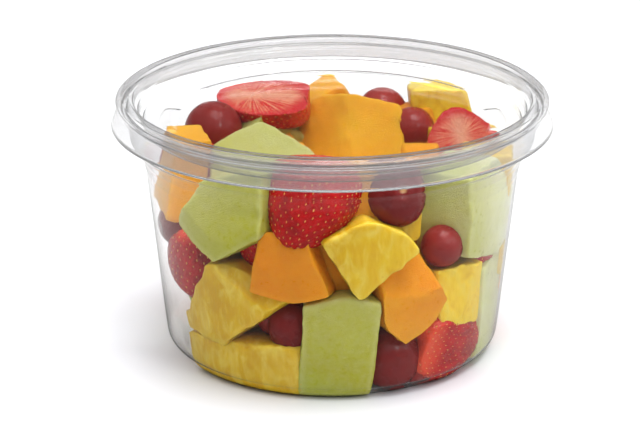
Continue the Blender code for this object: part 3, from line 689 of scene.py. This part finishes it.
def berry_ring(cut):
    """One ring round a strawberry's axis: where its points lie across and in depth, as shares of the
    radius, and 1 for those on the cut face. With cut, it runs round the back and straight across."""
    if not cut:
        angle = np.arange(BERRY_TURNS) * 2.0 * math.pi / BERRY_TURNS
        return np.cos(angle), np.sin(angle), np.zeros(BERRY_TURNS)
    angle = -np.linspace(0.0, math.pi, BACK_STEPS + 1)
    across = np.concatenate([np.cos(angle), np.linspace(-1.0, 1.0, FACE_STEPS + 1)[1:-1]])
    depth = np.concatenate([np.sin(angle), np.zeros(FACE_STEPS - 1)])
    flat = np.concatenate([np.zeros(BACK_STEPS + 1), np.ones(FACE_STEPS - 1)])
    return across, depth, flat


def strawberry(half, rng, cut):
    """A hulled strawberry and its seeds: its profile carried round its own upright axis, with gentle
    lobes and a dimple round each seed. With cut, only the half behind a flat face is kept, and the
    face bulges by the cosine of the place across times the cosine of the height."""
    path = smooth_path(STRAWBERRY_PROFILE, BERRY_ROWS + 1)
    path[:, 0] = np.maximum(path[:, 0], 0.0)
    count = int(SEED_COUNT * (half[0] * half[1]) / (STRAWBERRY_HALF[0] * STRAWBERRY_HALF[1]))
    if cut:
        places, normals, down = seed_places(path, half, count // 2, math.pi)
        places, normals, down = (v * np.array((1.0, 1.0, -1.0)) for v in (places, normals, down))
    else:
        places, normals, down = seed_places(path, half, count, 2.0 * math.pi)
    across, depth, flat = berry_ring(cut)
    ring = path[1:-1]
    r = ring[:, :1]
    body = np.stack(np.broadcast_arrays(r * across, ring[:, 1:], r * depth), axis=-1).reshape(-1, 3)
    unit = np.concatenate([body, [(0.0, path[0, 1], 0.0), (0.0, path[-1, 1], 0.0)]])
    on_face = np.concatenate([np.tile(flat, len(ring)), [0.0, 0.0]])
    faces = wrapped_faces(len(ring), len(across))
    if cut:
        faces = [block[:, ::-1] for block in faces]
    points = unit * np.array(half)
    outward = unit / np.array(half)
    outward = outward / np.maximum(np.linalg.norm(outward, axis=1)[:, None], 1e-9)
    near_seed = nearness(points, places)
    points = points - outward * (DIMPLE_DEPTH * near_seed * (1.0 - on_face))[:, None]
    seed = rng.integers(1 << 30)
    lobes = wobble(points, np.random.default_rng(seed), LOBE_SIZE, LOBE_RISE)
    places = places - normals * SEED_DEPTH
    places = places + wobble(places, np.random.default_rng(seed), LOBE_SIZE, LOBE_RISE)
    points = points + lobes * (1.0 - 0.8 * on_face)[:, None]
    points[:, 2] += on_face * (0.5 * np.cos(unit[:, 0] * 2.6) * np.cos(unit[:, 1] * 1.4))
    tone = np.full(len(points), rng.uniform(0.0, 1.0))
    berry = part(points, faces, grain=unit, flat=on_face, near_seed=near_seed, tone=tone)
    return berry, seeds(places, normals, down, rng)


def tub_radius(height):
    """Outside radius of the tub at a height."""
    return np.interp(height, TUB_HEIGHTS, TUB_RADII)


def piece_axes(bearing, turn, lean, swing):
    """Rotation of a piece: turned in its face, swung, leant, then set at a bearing."""
    b, t, n, w = (math.radians(v) for v in (bearing, turn, -lean, swing))
    face = np.array(((math.cos(b), 0.0, math.sin(b)), (math.sin(b), 0.0, -math.cos(b)), (0.0, 1.0, 0.0)))
    tip = np.array(((1.0, 0.0, 0.0), (0.0, math.cos(n), -math.sin(n)), (0.0, math.sin(n), math.cos(n))))
    yaw = np.array(((math.cos(w), 0.0, math.sin(w)), (0.0, 1.0, 0.0), (-math.sin(w), 0.0, math.cos(w))))
    roll = np.array(((math.cos(t), -math.sin(t), 0.0), (math.sin(t), math.cos(t), 0.0), (0.0, 0.0, 1.0)))
    return face @ tip @ yaw @ roll


def press_to_tub(points, inset=0.0):
    """Flatten a piece where it would pass the tub's wall or floor or the lid's panel, less an
    inset. Above the wall's top the radius stays the one there."""
    top = PANEL_HEIGHT - CAD_LID_WALL - LID_GAP - inset
    radius = np.hypot(points[:, 0], points[:, 1])
    ease = np.clip((radius - FOOT_INNER) / (FOOT_OUTER - FOOT_INNER), 0.0, 1.0)
    floor = FLOOR_RISE * (1.0 - ease) + CAD_TUB_WALL + FLOOR_GAP + inset
    z = np.minimum(np.maximum(points[:, 2], floor), top)
    limit = tub_radius(np.minimum(z, WALL_TOP)) - CAD_TUB_WALL - WALL_GAP - inset
    pull = np.minimum(1.0, limit / np.maximum(radius, 1e-6))
    return np.stack([points[:, 0] * pull, points[:, 1] * pull, z], axis=1)


def back_pieces():
    """Seeded rows of pieces round the back and sides, in the form of the wall table."""
    rng = np.random.default_rng(SEED)
    rows = []
    for height, inset, first, last, count in BACK_ROWS:
        for i in range(count):
            kind = BACK_KINDS[len(rows) % len(BACK_KINDS)]
            bearing = first + (last - first) * i / (count - 1) + rng.uniform(-BEARING_STRAY, BEARING_STRAY)
            half = np.array(CHUNK_HALF) * rng.uniform(*CHUNK_RANGE, 3)
            if kind == "grape":
                half = np.array(GRAPE_HALF) * rng.uniform(*GRAPE_RANGE)
            if kind == "strawberry":
                half = np.array(STRAWBERRY_HALF) * rng.uniform(*STRAWBERRY_RANGE)
            turn = rng.uniform(-TURN_STRAY, TURN_STRAY)
            middle = height + rng.uniform(-HEIGHT_STRAY, HEIGHT_STRAY)
            middle = min(middle, np.interp(bearing, EDGE_BEARINGS, EDGE_TOPS) - half[1])
            radius = float(tub_radius(height)) - CAD_TUB_WALL - inset
            if middle < LEFT_GAP_TOP and bearing > LEFT_GAP_BEARING:
                radius -= LEFT_GAP
            lean = rng.uniform(-LEAN_STRAY, LEAN_STRAY)
            swing = rng.uniform(-SWING_STRAY, SWING_STRAY)
            taper = rng.uniform(-TAPER_STRAY, TAPER_STRAY)
            skew = rng.uniform(-SKEW_STRAY, SKEW_STRAY)
            rows.append((kind, bearing, radius, middle, *half, turn, lean, swing, taper, skew))
    return rows


def fill_pieces():
    """Seeded rings of smaller pieces further in, which show between the outer ones."""
    rng = np.random.default_rng(SEED + 1)
    rows = []
    for height, radius, count in FILL_RINGS:
        for i in range(count):
            kind = FILL_KINDS[len(rows) % len(FILL_KINDS)]
            half = np.array(FILL_HALF) * rng.uniform(*FILL_RANGE, 3)
            if kind == "grape":
                half = np.array(GRAPE_HALF) * rng.uniform(*FILL_GRAPE_RANGE)
            bearing = 360.0 * (i + rng.uniform(-0.15, 0.15)) / count
            middle = height + rng.uniform(-HEIGHT_STRAY, HEIGHT_STRAY)
            turn = rng.uniform(-45.0, 45.0)
            lean = rng.uniform(-20.0, 20.0)
            swing = rng.uniform(-40.0, 40.0)
            taper = rng.uniform(-0.2, 0.2)
            rows.append((kind, bearing, radius, middle, *half, turn, lean, swing, taper, 0.0))
    return rows + [GAP_GRAPE]


def layout():
    """Every piece in one form: kind, bearing, place of its middle, form, knife cuts and tone, the tone partly
    painted light and shade.
    """
    rows = []
    for place, (kind, bearing, radius, height, *form) in enumerate(
            WALL_PIECES + tuple(back_pieces()) + tuple(fill_pieces())):
        b = math.radians(bearing)
        middle = (radius * math.sin(b), -radius * math.cos(b), height)
        rows.append((kind, bearing, middle, form, WALL_CUTS.get(place), WALL_TONES_AND_SHADING.get(place)))
    for place, (kind, x, y, z, *form) in enumerate(TOP_PIECES + MIDDLE_PIECES):
        rows.append((kind, 0.0, (x, y, z), form, TOP_CUTS.get(place), TOP_TONES_AND_SHADING.get(place)))
    return rows


def piece_shapes(kind, form, cuts, rng):
    """The shapes of one piece about its own middle, by what they are."""
    half = form[:3]
    taper, skew = form[6:]
    if kind == "grape":
        return {"grape": grape(half, rng)}
    if kind in ("strawberry", "half_strawberry"):
        berry, stones = strawberry(half, rng, kind == "half_strawberry")
        return {"strawberry": berry, "seed": stones}
    if cuts:
        return {kind: cut_chunk(half[2], cuts, rng, RAGGEDNESS[kind])}
    return {kind: chunk(half, taper, skew, rng, RAGGEDNESS[kind])}


def set_tone_and_shading(shape, half, tone):
    """Set how deep a piece's colour is, partly its own colour and partly painted light and shade: in its
    middle, with the change to its right and its top.
    """
    change = shape["points"][:, :2] / np.array(half[:2]) @ np.array(tone[1:])
    shape["attributes"]["tone"] = np.clip(tone[0] + change, 0.0, 1.0)


def settled(name, points):
    """Points of a placed shape, pressed to the tub. A seed keeps its form: it moves as far as its
    middle is pressed."""
    if name != "seed":
        return press_to_tub(points)
    each = points.reshape(-1, len(SEED_POLAR), 3)
    middle = each.mean(axis=1)
    move = press_to_tub(middle, SEED_INSET) - middle
    return (each + move[:, None, :]).reshape(-1, 3)


def all_fruit():
    """Every piece of fruit, placed and pressed to the tub, sorted by kind."""
    stock = {kind: [] for kind in FRUIT_KINDS}
    for number, (kind, bearing, middle, form, cuts, tone) in enumerate(layout()):
        axes = piece_axes(bearing, *form[3:6])
        shapes = piece_shapes(kind, form, cuts, np.random.default_rng((SEED, number)))
        # The tabled tones paint part of the light and shade on the shown pieces.
        if tone and kind in shapes:
            set_tone_and_shading(shapes[kind], form[:3], tone)
        for name, shape in shapes.items():
            shape["points"] = settled(name, shape["points"] @ axes.T + np.array(middle))
            stock[name].append(shape)
    return stock


def make_core(finish):
    """The unseen middle of the heap: a lumpy drum, its profile carried round plus waves that only
    lift."""
    path = smooth_path(CORE_PROFILE, CORE_ROWS)
    path[:, 0] = np.maximum(path[:, 0], 0.0)
    points, faces = spun(path, CORE_TURNS)
    push = wobble(points, np.random.default_rng(SEED + 2), 20.0, 1.6)
    push[:, 2] = np.abs(push[:, 2])
    middling = np.full(len(points), 0.5)
    shape = part(points + push, faces, grain=points / 10.0, tone=middling, ripe=middling,
                 edge=np.zeros(len(points)))
    piece = make_piece("heap_core", [shape], finish)
    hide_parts("fruit_heap")


# Finishes.

def node(tree, kind, settings=None, **inputs):
    """Add a shader node with its settings; inputs are socket values or sockets to join."""
    made = tree.nodes.new(kind)
    for key, value in (settings or {}).items():
        setattr(made, key, value)
    for key, value in inputs.items():
        socket = made.inputs[key.replace("_", " ")]
        if isinstance(value, bpy.types.NodeSocket):
            tree.links.new(value, socket)
        else:
            socket.default_value = value
    return made


def attribute(tree, name, output="Fac"):
    """A named attribute as a number, or by another output."""
    return node(tree, "ShaderNodeAttribute", {"attribute_name": name}).outputs[output]


def maths(tree, operation, first, second=0.0):
    """Two numbers or sockets joined by an operation, or the first one alone changed by it."""
    made = node(tree, "ShaderNodeMath", {"operation": operation})
    for index, value in enumerate((first, second)):
        if isinstance(value, bpy.types.NodeSocket):
            tree.links.new(value, made.inputs[index])
        else:
            made.inputs[index].default_value = value
    return made.outputs[0]


def mix_colour(tree, factor, first, second):
    """A colour mixed from two colours or sockets by a factor."""
    made = node(tree, "ShaderNodeMix", {"data_type": "RGBA"})
    for index, value in ((0, factor), (6, first), (7, second)):
        if isinstance(value, bpy.types.NodeSocket):
            tree.links.new(value, made.inputs[index])
        else:
            made.inputs[index].default_value = value
    return made.outputs[2]


def levels(tree, value, low, high, to_low=0.0, to_high=1.0):
    """The value mapped from one range to another and held inside it."""
    return node(tree, "ShaderNodeMapRange", None, Value=value, From_Min=low, From_Max=high,
                To_Min=to_low, To_Max=to_high).outputs[0]


def noise(tree, vector, scale, detail=3.0, roughness=0.55, distortion=0.0):
    """Noise on a vector."""
    return node(tree, "ShaderNodeTexNoise", None, Vector=vector, Scale=scale, Detail=detail,
                Roughness=roughness, Distortion=distortion).outputs[0]


def stretched(tree, vector, x, y, z):
    """A vector scaled differently along its axes."""
    return node(tree, "ShaderNodeMapping", None, Vector=vector, Scale=(x, y, z)).outputs[0]


def start_finish(name, roughness, specular=0.5):
    """A new material with its tree and shader."""
    material = bpy.data.materials.new(name)
    material.use_nodes = True
    tree = material.node_tree
    shader = tree.nodes["Principled BSDF"]
    shader.inputs["Roughness"].default_value = roughness
    shader.inputs["Specular IOR Level"].default_value = specular
    return material, tree, shader


def moist(shader, weight, radius, coat, coat_roughness):
    """Set the soft light inside wet fruit and its film of juice."""
    shader.inputs["Subsurface Weight"].default_value = weight
    shader.inputs["Subsurface Radius"].default_value = radius
    shader.inputs["Subsurface Scale"].default_value = 0.004
    shader.inputs["Coat Weight"].default_value = coat
    shader.inputs["Coat Roughness"].default_value = coat_roughness
    shader.inputs["Coat IOR"].default_value = 1.36


def bump(tree, shader, height, strength, distance):
    """Low relief on the shader's normal."""
    made = node(tree, "ShaderNodeBump", None, Height=height, Strength=strength, Distance=distance)
    tree.links.new(made.outputs[0], shader.inputs["Normal"])


def melon_finish(name, flesh, pale, deep, rind):
    """Cut melon: flesh between pale and deep by its tone, with broad soft patches, cut edges paler by painted
    light that stands for light scattered in the flesh, the rind's colour at its ripe end and a fine grain."""
    material, tree, shader = start_finish(name, 0.36, 0.3)
    grain = attribute(tree, "grain", "Vector")
    ripe = attribute(tree, "ripe")
    tone = attribute(tree, "tone")
    edge = attribute(tree, "edge")
    broad = noise(tree, grain, 0.8, 2.0)
    mottle = noise(tree, grain, 5.0, 4.0, 0.6)
    fine = noise(tree, stretched(tree, grain, 1.0, 2.6, 1.0), 16.0, 3.0, 0.6)
    colour = mix_colour(tree, tone, pale, deep)
    colour = mix_colour(tree, levels(tree, broad, 0.35, 0.7, 0.0, 0.35), colour, flesh)
    soaked = noise(tree, grain, 2.0, 3.0, 0.5, 0.6)
    colour = mix_colour(tree, levels(tree, soaked, 0.4, 0.7, 0.0, 0.18), colour, deep)
    colour = mix_colour(tree, levels(tree, ripe, 0.7, 1.0, 0.0, 0.5), colour, rind)
    colour = mix_colour(tree, levels(tree, mottle, 0.42, 0.72, 0.0, 0.12), colour, pale)
    # Painted light: the cut edges mixed towards the pale colour, standing for light scattered in the flesh.
    colour = mix_colour(tree, levels(tree, edge, 0.4, 1.0, 0.0, 0.2), colour, pale)
    tree.links.new(colour, shader.inputs["Base Color"])
    tree.links.new(levels(tree, mottle, 0.3, 0.7, 0.24, 0.44), shader.inputs["Roughness"])
    bump(tree, shader, fine, 0.7, 0.0009)
    return material, shader


def cantaloupe_finish():
    """Orange cut melon."""
    material, shader = melon_finish("cantaloupe_flesh", flesh=linear(252, 160, 10), pale=linear(255, 190, 40),
                                    deep=linear(232, 138, 12), rind=linear(244, 172, 40))
    moist(shader, 0.3, (1.0, 0.5, 0.16), 0.08, 0.16)
    return material


def honeydew_finish():
    """Pale green cut melon."""
    material, shader = melon_finish("honeydew_flesh", flesh=linear(198, 200, 76), pale=linear(238, 238, 192),
                                    deep=linear(180, 176, 42), rind=linear(180, 192, 76))
    moist(shader, 0.3, (0.8, 1.0, 0.35), 0.08, 0.16)
    return material


def pineapple_finish():
    """Yellow cut pineapple: flesh between light and deep by its tone, with soft pale and dark
    patches, faint fibres, a few specks, and cut edges paler by painted light scattered in the flesh."""
    light, deep, clear = linear(248, 212, 60), linear(202, 158, 10), linear(228, 190, 6)
    pale_patch, dark_patch = linear(228, 206, 92), linear(208, 158, 2)
    fibre, speck, edge_glow = linear(244, 220, 84), linear(190, 134, 20), linear(240, 218, 100)
    material, tree, shader = start_finish("pineapple_flesh", 0.34, 0.3)
    grain = attribute(tree, "grain", "Vector")
    tone = attribute(tree, "tone")
    edge = attribute(tree, "edge")
    broad = noise(tree, grain, 0.9, 2.0)
    patches = noise(tree, stretched(tree, grain, 1.5, 0.8, 1.5), 1.5, 3.0, 0.5, 0.8)
    strands = noise(tree, stretched(tree, grain, 5.0, 0.9, 5.0), 1.8, 4.0, 0.6, 0.6)
    specks = noise(tree, grain, 9.0, 2.0)
    colour = mix_colour(tree, tone, light, deep)
    colour = mix_colour(tree, levels(tree, broad, 0.38, 0.66, 0.0, 0.5), colour, clear)
    colour = mix_colour(tree, levels(tree, patches, 0.48, 0.7, 0.0, 0.6), colour, pale_patch)
    colour = mix_colour(tree, levels(tree, patches, 0.48, 0.32, 0.0, 0.5), colour, dark_patch)
    colour = mix_colour(tree, levels(tree, strands, 0.52, 0.8, 0.0, 0.3), colour, fibre)
    colour = mix_colour(tree, levels(tree, specks, 0.66, 0.8, 0.0, 0.4), colour, speck)
    # Painted light: the cut edges paler, standing for light scattered in the flesh.
    colour = mix_colour(tree, levels(tree, edge, 0.5, 1.0, 0.0, 0.2), colour, edge_glow)
    tree.links.new(colour, shader.inputs["Base Color"])
    tree.links.new(levels(tree, patches, 0.3, 0.7, 0.42, 0.28), shader.inputs["Roughness"])
    bump(tree, shader, strands, 0.3, 0.0009)
    moist(shader, 0.3, (1.0, 0.7, 0.2), 0.1, 0.14)
    return material


def grape_finish():
    """Dark red grape skin with lighter patches and specks, and a pale brown stalk scar."""
    light, deep, patch = linear(150, 42, 36), linear(92, 2, 6), linear(146, 30, 24)
    speck, stalk = linear(160, 80, 60), linear(176, 132, 84)
    material, tree, shader = start_finish("grape_skin", 0.3, 0.22)
    grain = attribute(tree, "grain", "Vector")
    tone = attribute(tree, "tone")
    scar = attribute(tree, "scar")
    patches = noise(tree, grain, 1.4, 4.0, 0.6)
    specks = noise(tree, grain, 14.0, 2.0)
    colour = mix_colour(tree, tone, light, deep)
    colour = mix_colour(tree, levels(tree, patches, 0.4, 0.75, 0.0, 0.4), colour, patch)
    colour = mix_colour(tree, levels(tree, specks, 0.62, 0.8, 0.0, 0.3), colour, speck)
    colour = mix_colour(tree, levels(tree, scar, 0.25, 0.8), colour, stalk)
    tree.links.new(colour, shader.inputs["Base Color"])
    tree.links.new(levels(tree, patches, 0.35, 0.7, 0.22, 0.42), shader.inputs["Roughness"])
    bump(tree, shader, specks, 0.08, 0.0003)
    moist(shader, 0.15, (1.0, 0.25, 0.15), 0.25, 0.06)
    return material


def strawberry_skin(tree, height, blotch):
    """Colour of the skin: red with deeper blotches, darker round the seeds as painted shade in their
    dimples, and paler at the hulled top."""
    colour = mix_colour(tree, levels(tree, blotch, 0.35, 0.7), linear(188, 4, 8), linear(138, 1, 6))
    tone = levels(tree, attribute(tree, "tone"), 0.0, 1.0, 0.0, 0.3)
    colour = mix_colour(tree, tone, colour, linear(214, 30, 24))
    # Painted shade: the skin darker in the dimples round the seeds.
    near = levels(tree, attribute(tree, "near_seed"), 0.35, 1.0, 0.0, 0.6)
    colour = mix_colour(tree, near, colour, linear(140, 8, 18))
    return mix_colour(tree, levels(tree, height, 0.55, 0.9, 0.0, 0.8), colour, linear(230, 84, 50))


def strawberry_inside(tree, across, height):
    """Colour of a cut face: fine pale rays from below its middle, a pale core and a red rim. The rays
    are noise on the angle and the distance from the middle."""
    flat_place = node(tree, "ShaderNodeCombineXYZ", None, X=across, Y=height).outputs[0]
    out = node(tree, "ShaderNodeVectorMath", {"operation": "LENGTH"}, Vector=flat_place).outputs["Value"]
    angle = maths(tree, "ARCTAN2", across, maths(tree, "ADD", height, 0.25))
    ray_place = node(tree, "ShaderNodeCombineXYZ", None, X=angle, Y=out).outputs[0]
    rays = noise(tree, stretched(tree, ray_place, 9.0, 0.8, 1.0), 1.6, 3.0, 0.6)
    core = levels(tree, maths(tree, "ABSOLUTE", across), 0.05, 0.35, 0.6, 0.0)
    colour = mix_colour(tree, levels(tree, rays, 0.45, 0.57), linear(196, 26, 22), linear(222, 132, 98))
    colour = mix_colour(tree, core, colour, linear(226, 172, 138))
    return mix_colour(tree, levels(tree, out, 0.66, 0.92), colour, linear(196, 30, 32))


def strawberry_finish():
    """Strawberry: red skin, and the inside where a face is cut."""
    material, tree, shader = start_finish("strawberry_skin", 0.3, 0.3)
    grain = attribute(tree, "grain", "Vector")
    split = node(tree, "ShaderNodeSeparateXYZ", None, Vector=grain)
    across, height = split.outputs[0], split.outputs[1]
    blotch = noise(tree, grain, 2.4, 3.0)
    skin = strawberry_skin(tree, height, blotch)
    inside = strawberry_inside(tree, across, height)
    tree.links.new(mix_colour(tree, attribute(tree, "flat"), skin, inside), shader.inputs["Base Color"])
    tree.links.new(levels(tree, blotch, 0.3, 0.7, 0.2, 0.32), shader.inputs["Roughness"])
    bump(tree, shader, noise(tree, grain, 11.0, 3.0), 0.5, 0.0009)
    moist(shader, 0.2, (1.0, 0.25, 0.15), 0.3, 0.1)
    return material


def seed_finish():
    """Straw-yellow seeds, some browner."""
    material, tree, shader = start_finish("strawberry_seed", 0.4)
    brown = levels(tree, attribute(tree, "tone"), 0.1, 0.9)
    colour = mix_colour(tree, brown, linear(240, 178, 84), linear(206, 120, 50))
    tree.links.new(colour, shader.inputs["Base Color"])
    return material


def clear_plastic(name, tint, haze=0.0, haze_tint=None):
    """Clear formed plastic: glass-like, with the faint draw marks of forming in its surface, hazy
    where its milky attribute says, and open to lamps and to light from what it covers."""
    material, tree, shader = start_finish(name, 0.03)
    shader.inputs["Base Color"].default_value = tint
    shader.inputs["Transmission Weight"].default_value = 1.0
    if haze:
        milky = attribute(tree, "milky")
        tree.links.new(levels(tree, milky, 0.0, 1.0, 1.0, 1.0 - haze), shader.inputs["Transmission Weight"])
        tree.links.new(mix_colour(tree, milky, tint, haze_tint), shader.inputs["Base Color"])
    shader.inputs["IOR"].default_value = PLASTIC_IOR
    place = node(tree, "ShaderNodeTexCoord").outputs["Object"]
    marks = noise(tree, stretched(tree, place, 60.0, 60.0, 18.0), 1.0, 2.0)
    smears = noise(tree, place, 90.0, 3.0)
    tree.links.new(levels(tree, smears, 0.35, 0.75, 0.015, 0.06), shader.inputs["Roughness"])
    bump(tree, shader, marks, 0.05, 0.0008)
    clear = node(tree, "ShaderNodeBsdfTransparent", None, Color=(0.97, 0.975, 0.98, 1.0))
    path = node(tree, "ShaderNodeLightPath")
    lit = maths(tree, "MAXIMUM", path.outputs["Is Shadow Ray"], path.outputs["Is Diffuse Ray"])
    both = node(tree, "ShaderNodeMixShader", None, Fac=lit)
    tree.links.new(shader.outputs[0], both.inputs[1])
    tree.links.new(clear.outputs[0], both.inputs[2])
    tree.links.new(both.outputs[0], tree.nodes["Material Output"].inputs["Surface"])
    return material


def mirrored(tree):
    """1 for a ray that has been reflected on its way from the camera, 0 for one that only passed
    through clear walls."""
    path = node(tree, "ShaderNodeLightPath")
    return maths(tree, "GREATER_THAN", path.outputs["Glossy Depth"], 0.5)


def grey_shade(tree, level):
    """A grey of a level."""
    return node(tree, "ShaderNodeCombineColor", None, Red=level, Green=level, Blue=level).outputs[0]


def floor_finish():
    """Plain white table, lighter by painted light where it is seen through the clear walls and darker by
    painted shade in what they mirror in front."""
    material, tree, shader = start_finish("white_table", 0.6, 0.2)
    place = node(tree, "ShaderNodeTexCoord").outputs["Object"]
    colour = mix_colour(tree, noise(tree, place, 3.0), linear(212, 213, 217), linear(215, 216, 220))
    split = node(tree, "ShaderNodeSeparateXYZ", None, Vector=place)
    # Painted shade: grey, darker towards the front, for the table as the clear walls mirror it.
    shade = grey_shade(tree, levels(tree, split.outputs[1], -0.12, 0.2, 0.06, 0.9))
    path = node(tree, "ShaderNodeLightPath")
    # Painted light: a lighter table colour for rays that came through the clear walls.
    colour = mix_colour(tree, path.outputs["Is Transmission Ray"], colour, (0.95, 0.95, 0.96, 1.0))
    colour = mix_colour(tree, mirrored(tree), colour, shade)
    tree.links.new(colour, shader.inputs["Base Color"])
    return material


# Table, light and camera.

def make_floor():
    """A wide flat table top."""
    mesh = bpy.data.meshes.new("table_top")
    corners = [(x * TABLE_REACH, y * TABLE_REACH, 0.0) for x, y in ((-1, -1), (1, -1), (1, 1), (-1, 1))]
    mesh.from_pydata(corners, [], [(0, 1, 2, 3)])
    mesh.materials.append(floor_finish())
    floor = bpy.data.objects.new("table_top", mesh)
    bpy.context.scene.collection.objects.link(floor)


def soft_light(name, place, size, power, mirrors):
    """A square soft light at a place, turned to the tub; mirrors says whether surfaces reflect it."""
    lamp = bpy.data.lights.new(name, "AREA")
    lamp.size = size
    lamp.energy = power
    holder = bpy.data.objects.new(name, lamp)
    holder.location = place
    holder.visible_glossy = mirrors
    way = np.array(LAMP_TARGET) - np.array(place)
    way = way / np.linalg.norm(way)
    holder.rotation_euler = (math.acos(-way[2]), 0.0, math.atan2(way[0], -way[1]) + math.pi)
    bpy.context.scene.collection.objects.link(holder)


def by_ray(tree, bounced, pair):
    """The first of a pair of levels for light, the second for what surfaces mirror."""
    return levels(tree, bounced, 0.0, 1.0, *pair)


def make_world():
    """A bright ceiling over dimmer walls for what the surfaces mirror and for the light on the fruit,
    with a dark band at the height that the lid's panel mirrors and a dimmer middle of the ceiling in
    mirrors; white where it is seen, also through the clear walls."""
    world = bpy.data.worlds.new("white_room")
    world.use_nodes = True
    tree = world.node_tree
    place = node(tree, "ShaderNodeTexCoord").outputs["Generated"]
    split = node(tree, "ShaderNodeSeparateXYZ", None, Vector=place)
    y, z = split.outputs[1], split.outputs[2]
    bounced = mirrored(tree)
    walls = levels(tree, y, -0.3, 0.3, by_ray(tree, bounced, FRONT_WALL), BACK_WALL)
    low = levels(tree, z, 0.2, 0.28, walls, DARK_BAND)
    edge = by_ray(tree, bounced, CEILING_EDGE)
    high = levels(tree, z, 0.4, edge, DARK_BAND, by_ray(tree, bounced, CEILING))
    zenith = levels(tree, z, 0.8, 0.95, 1.0, by_ray(tree, bounced, ZENITH))
    shade = grey_shade(tree, maths(tree, "MULTIPLY", maths(tree, "MAXIMUM", low, high), zenith))
    path = node(tree, "ShaderNodeLightPath")
    through = maths(tree, "MAXIMUM", path.outputs["Is Camera Ray"], path.outputs["Is Transmission Ray"])
    straight = levels(tree, maths(tree, "SUBTRACT", through, bounced), 0.0, 1.0)
    background = tree.nodes["Background"]
    seen = mix_colour(tree, straight, shade, (1.0, 1.0, 1.0, 1.0))
    tree.links.new(seen, background.inputs["Color"])
    bpy.context.scene.world = world


def make_camera():
    """The photograph's view, from the front and looking down."""
    down = math.radians(VIEW_DOWN)
    lens = bpy.data.cameras.new("view")
    lens.sensor_width = SENSOR_WIDTH
    lens.lens = FOCAL_WIDTHS * SENSOR_WIDTH
    lens.clip_end = 20.0
    camera = bpy.data.objects.new("view", lens)
    back, up = VIEW_DISTANCE * math.cos(down), VIEW_DISTANCE * math.sin(down)
    camera.location = (VIEW_TARGET[0], VIEW_TARGET[1] - back, VIEW_TARGET[2] + up)
    camera.rotation_euler = (math.radians(90.0) - down, 0.0, 0.0)
    bpy.context.scene.collection.objects.link(camera)
    bpy.context.scene.camera = camera


def make_settings():
    """Plain display, and enough bounces for light through several clear walls."""
    scene = bpy.context.scene
    scene.view_settings.view_transform = "Standard"
    scene.view_settings.look = "None"
    scene.cycles.max_bounces = 28
    scene.cycles.transmission_bounces = 24
    scene.cycles.transparent_max_bounces = 32
    scene.cycles.glossy_bounces = 6
    scene.cycles.diffuse_bounces = 4
    scene.cycles.caustics_reflective = False
    scene.cycles.sample_clamp_indirect = 6.0


def build():
    """Make the camera, light and table, then the tub, the lid and the fruit."""
    make_camera()
    make_world()
    make_settings()
    make_floor()
    for lamp in LAMPS:
        soft_light(*lamp)
    make_tub(clear_plastic("tub_plastic", TUB_TINT))
    make_lid(clear_plastic("lid_plastic", LID_TINT, SKIRT_HAZE, SKIRT_TINT))
    stock = all_fruit()
    pieces = (
        ("cantaloupe", "cantaloupe_chunks", cantaloupe_finish()),
        ("honeydew", "honeydew_chunks", honeydew_finish()),
        ("pineapple", "pineapple_chunks", pineapple_finish()),
        ("grape", "grapes", grape_finish()),
        ("strawberry", "strawberries", strawberry_finish()),
        ("seed", "strawberry_seeds", seed_finish()),
    )
    for kind, name, finish in pieces:
        piece = make_piece(name, stock[kind], finish)
        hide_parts("fruit_heap")
    make_core(pieces[0][2])


build()
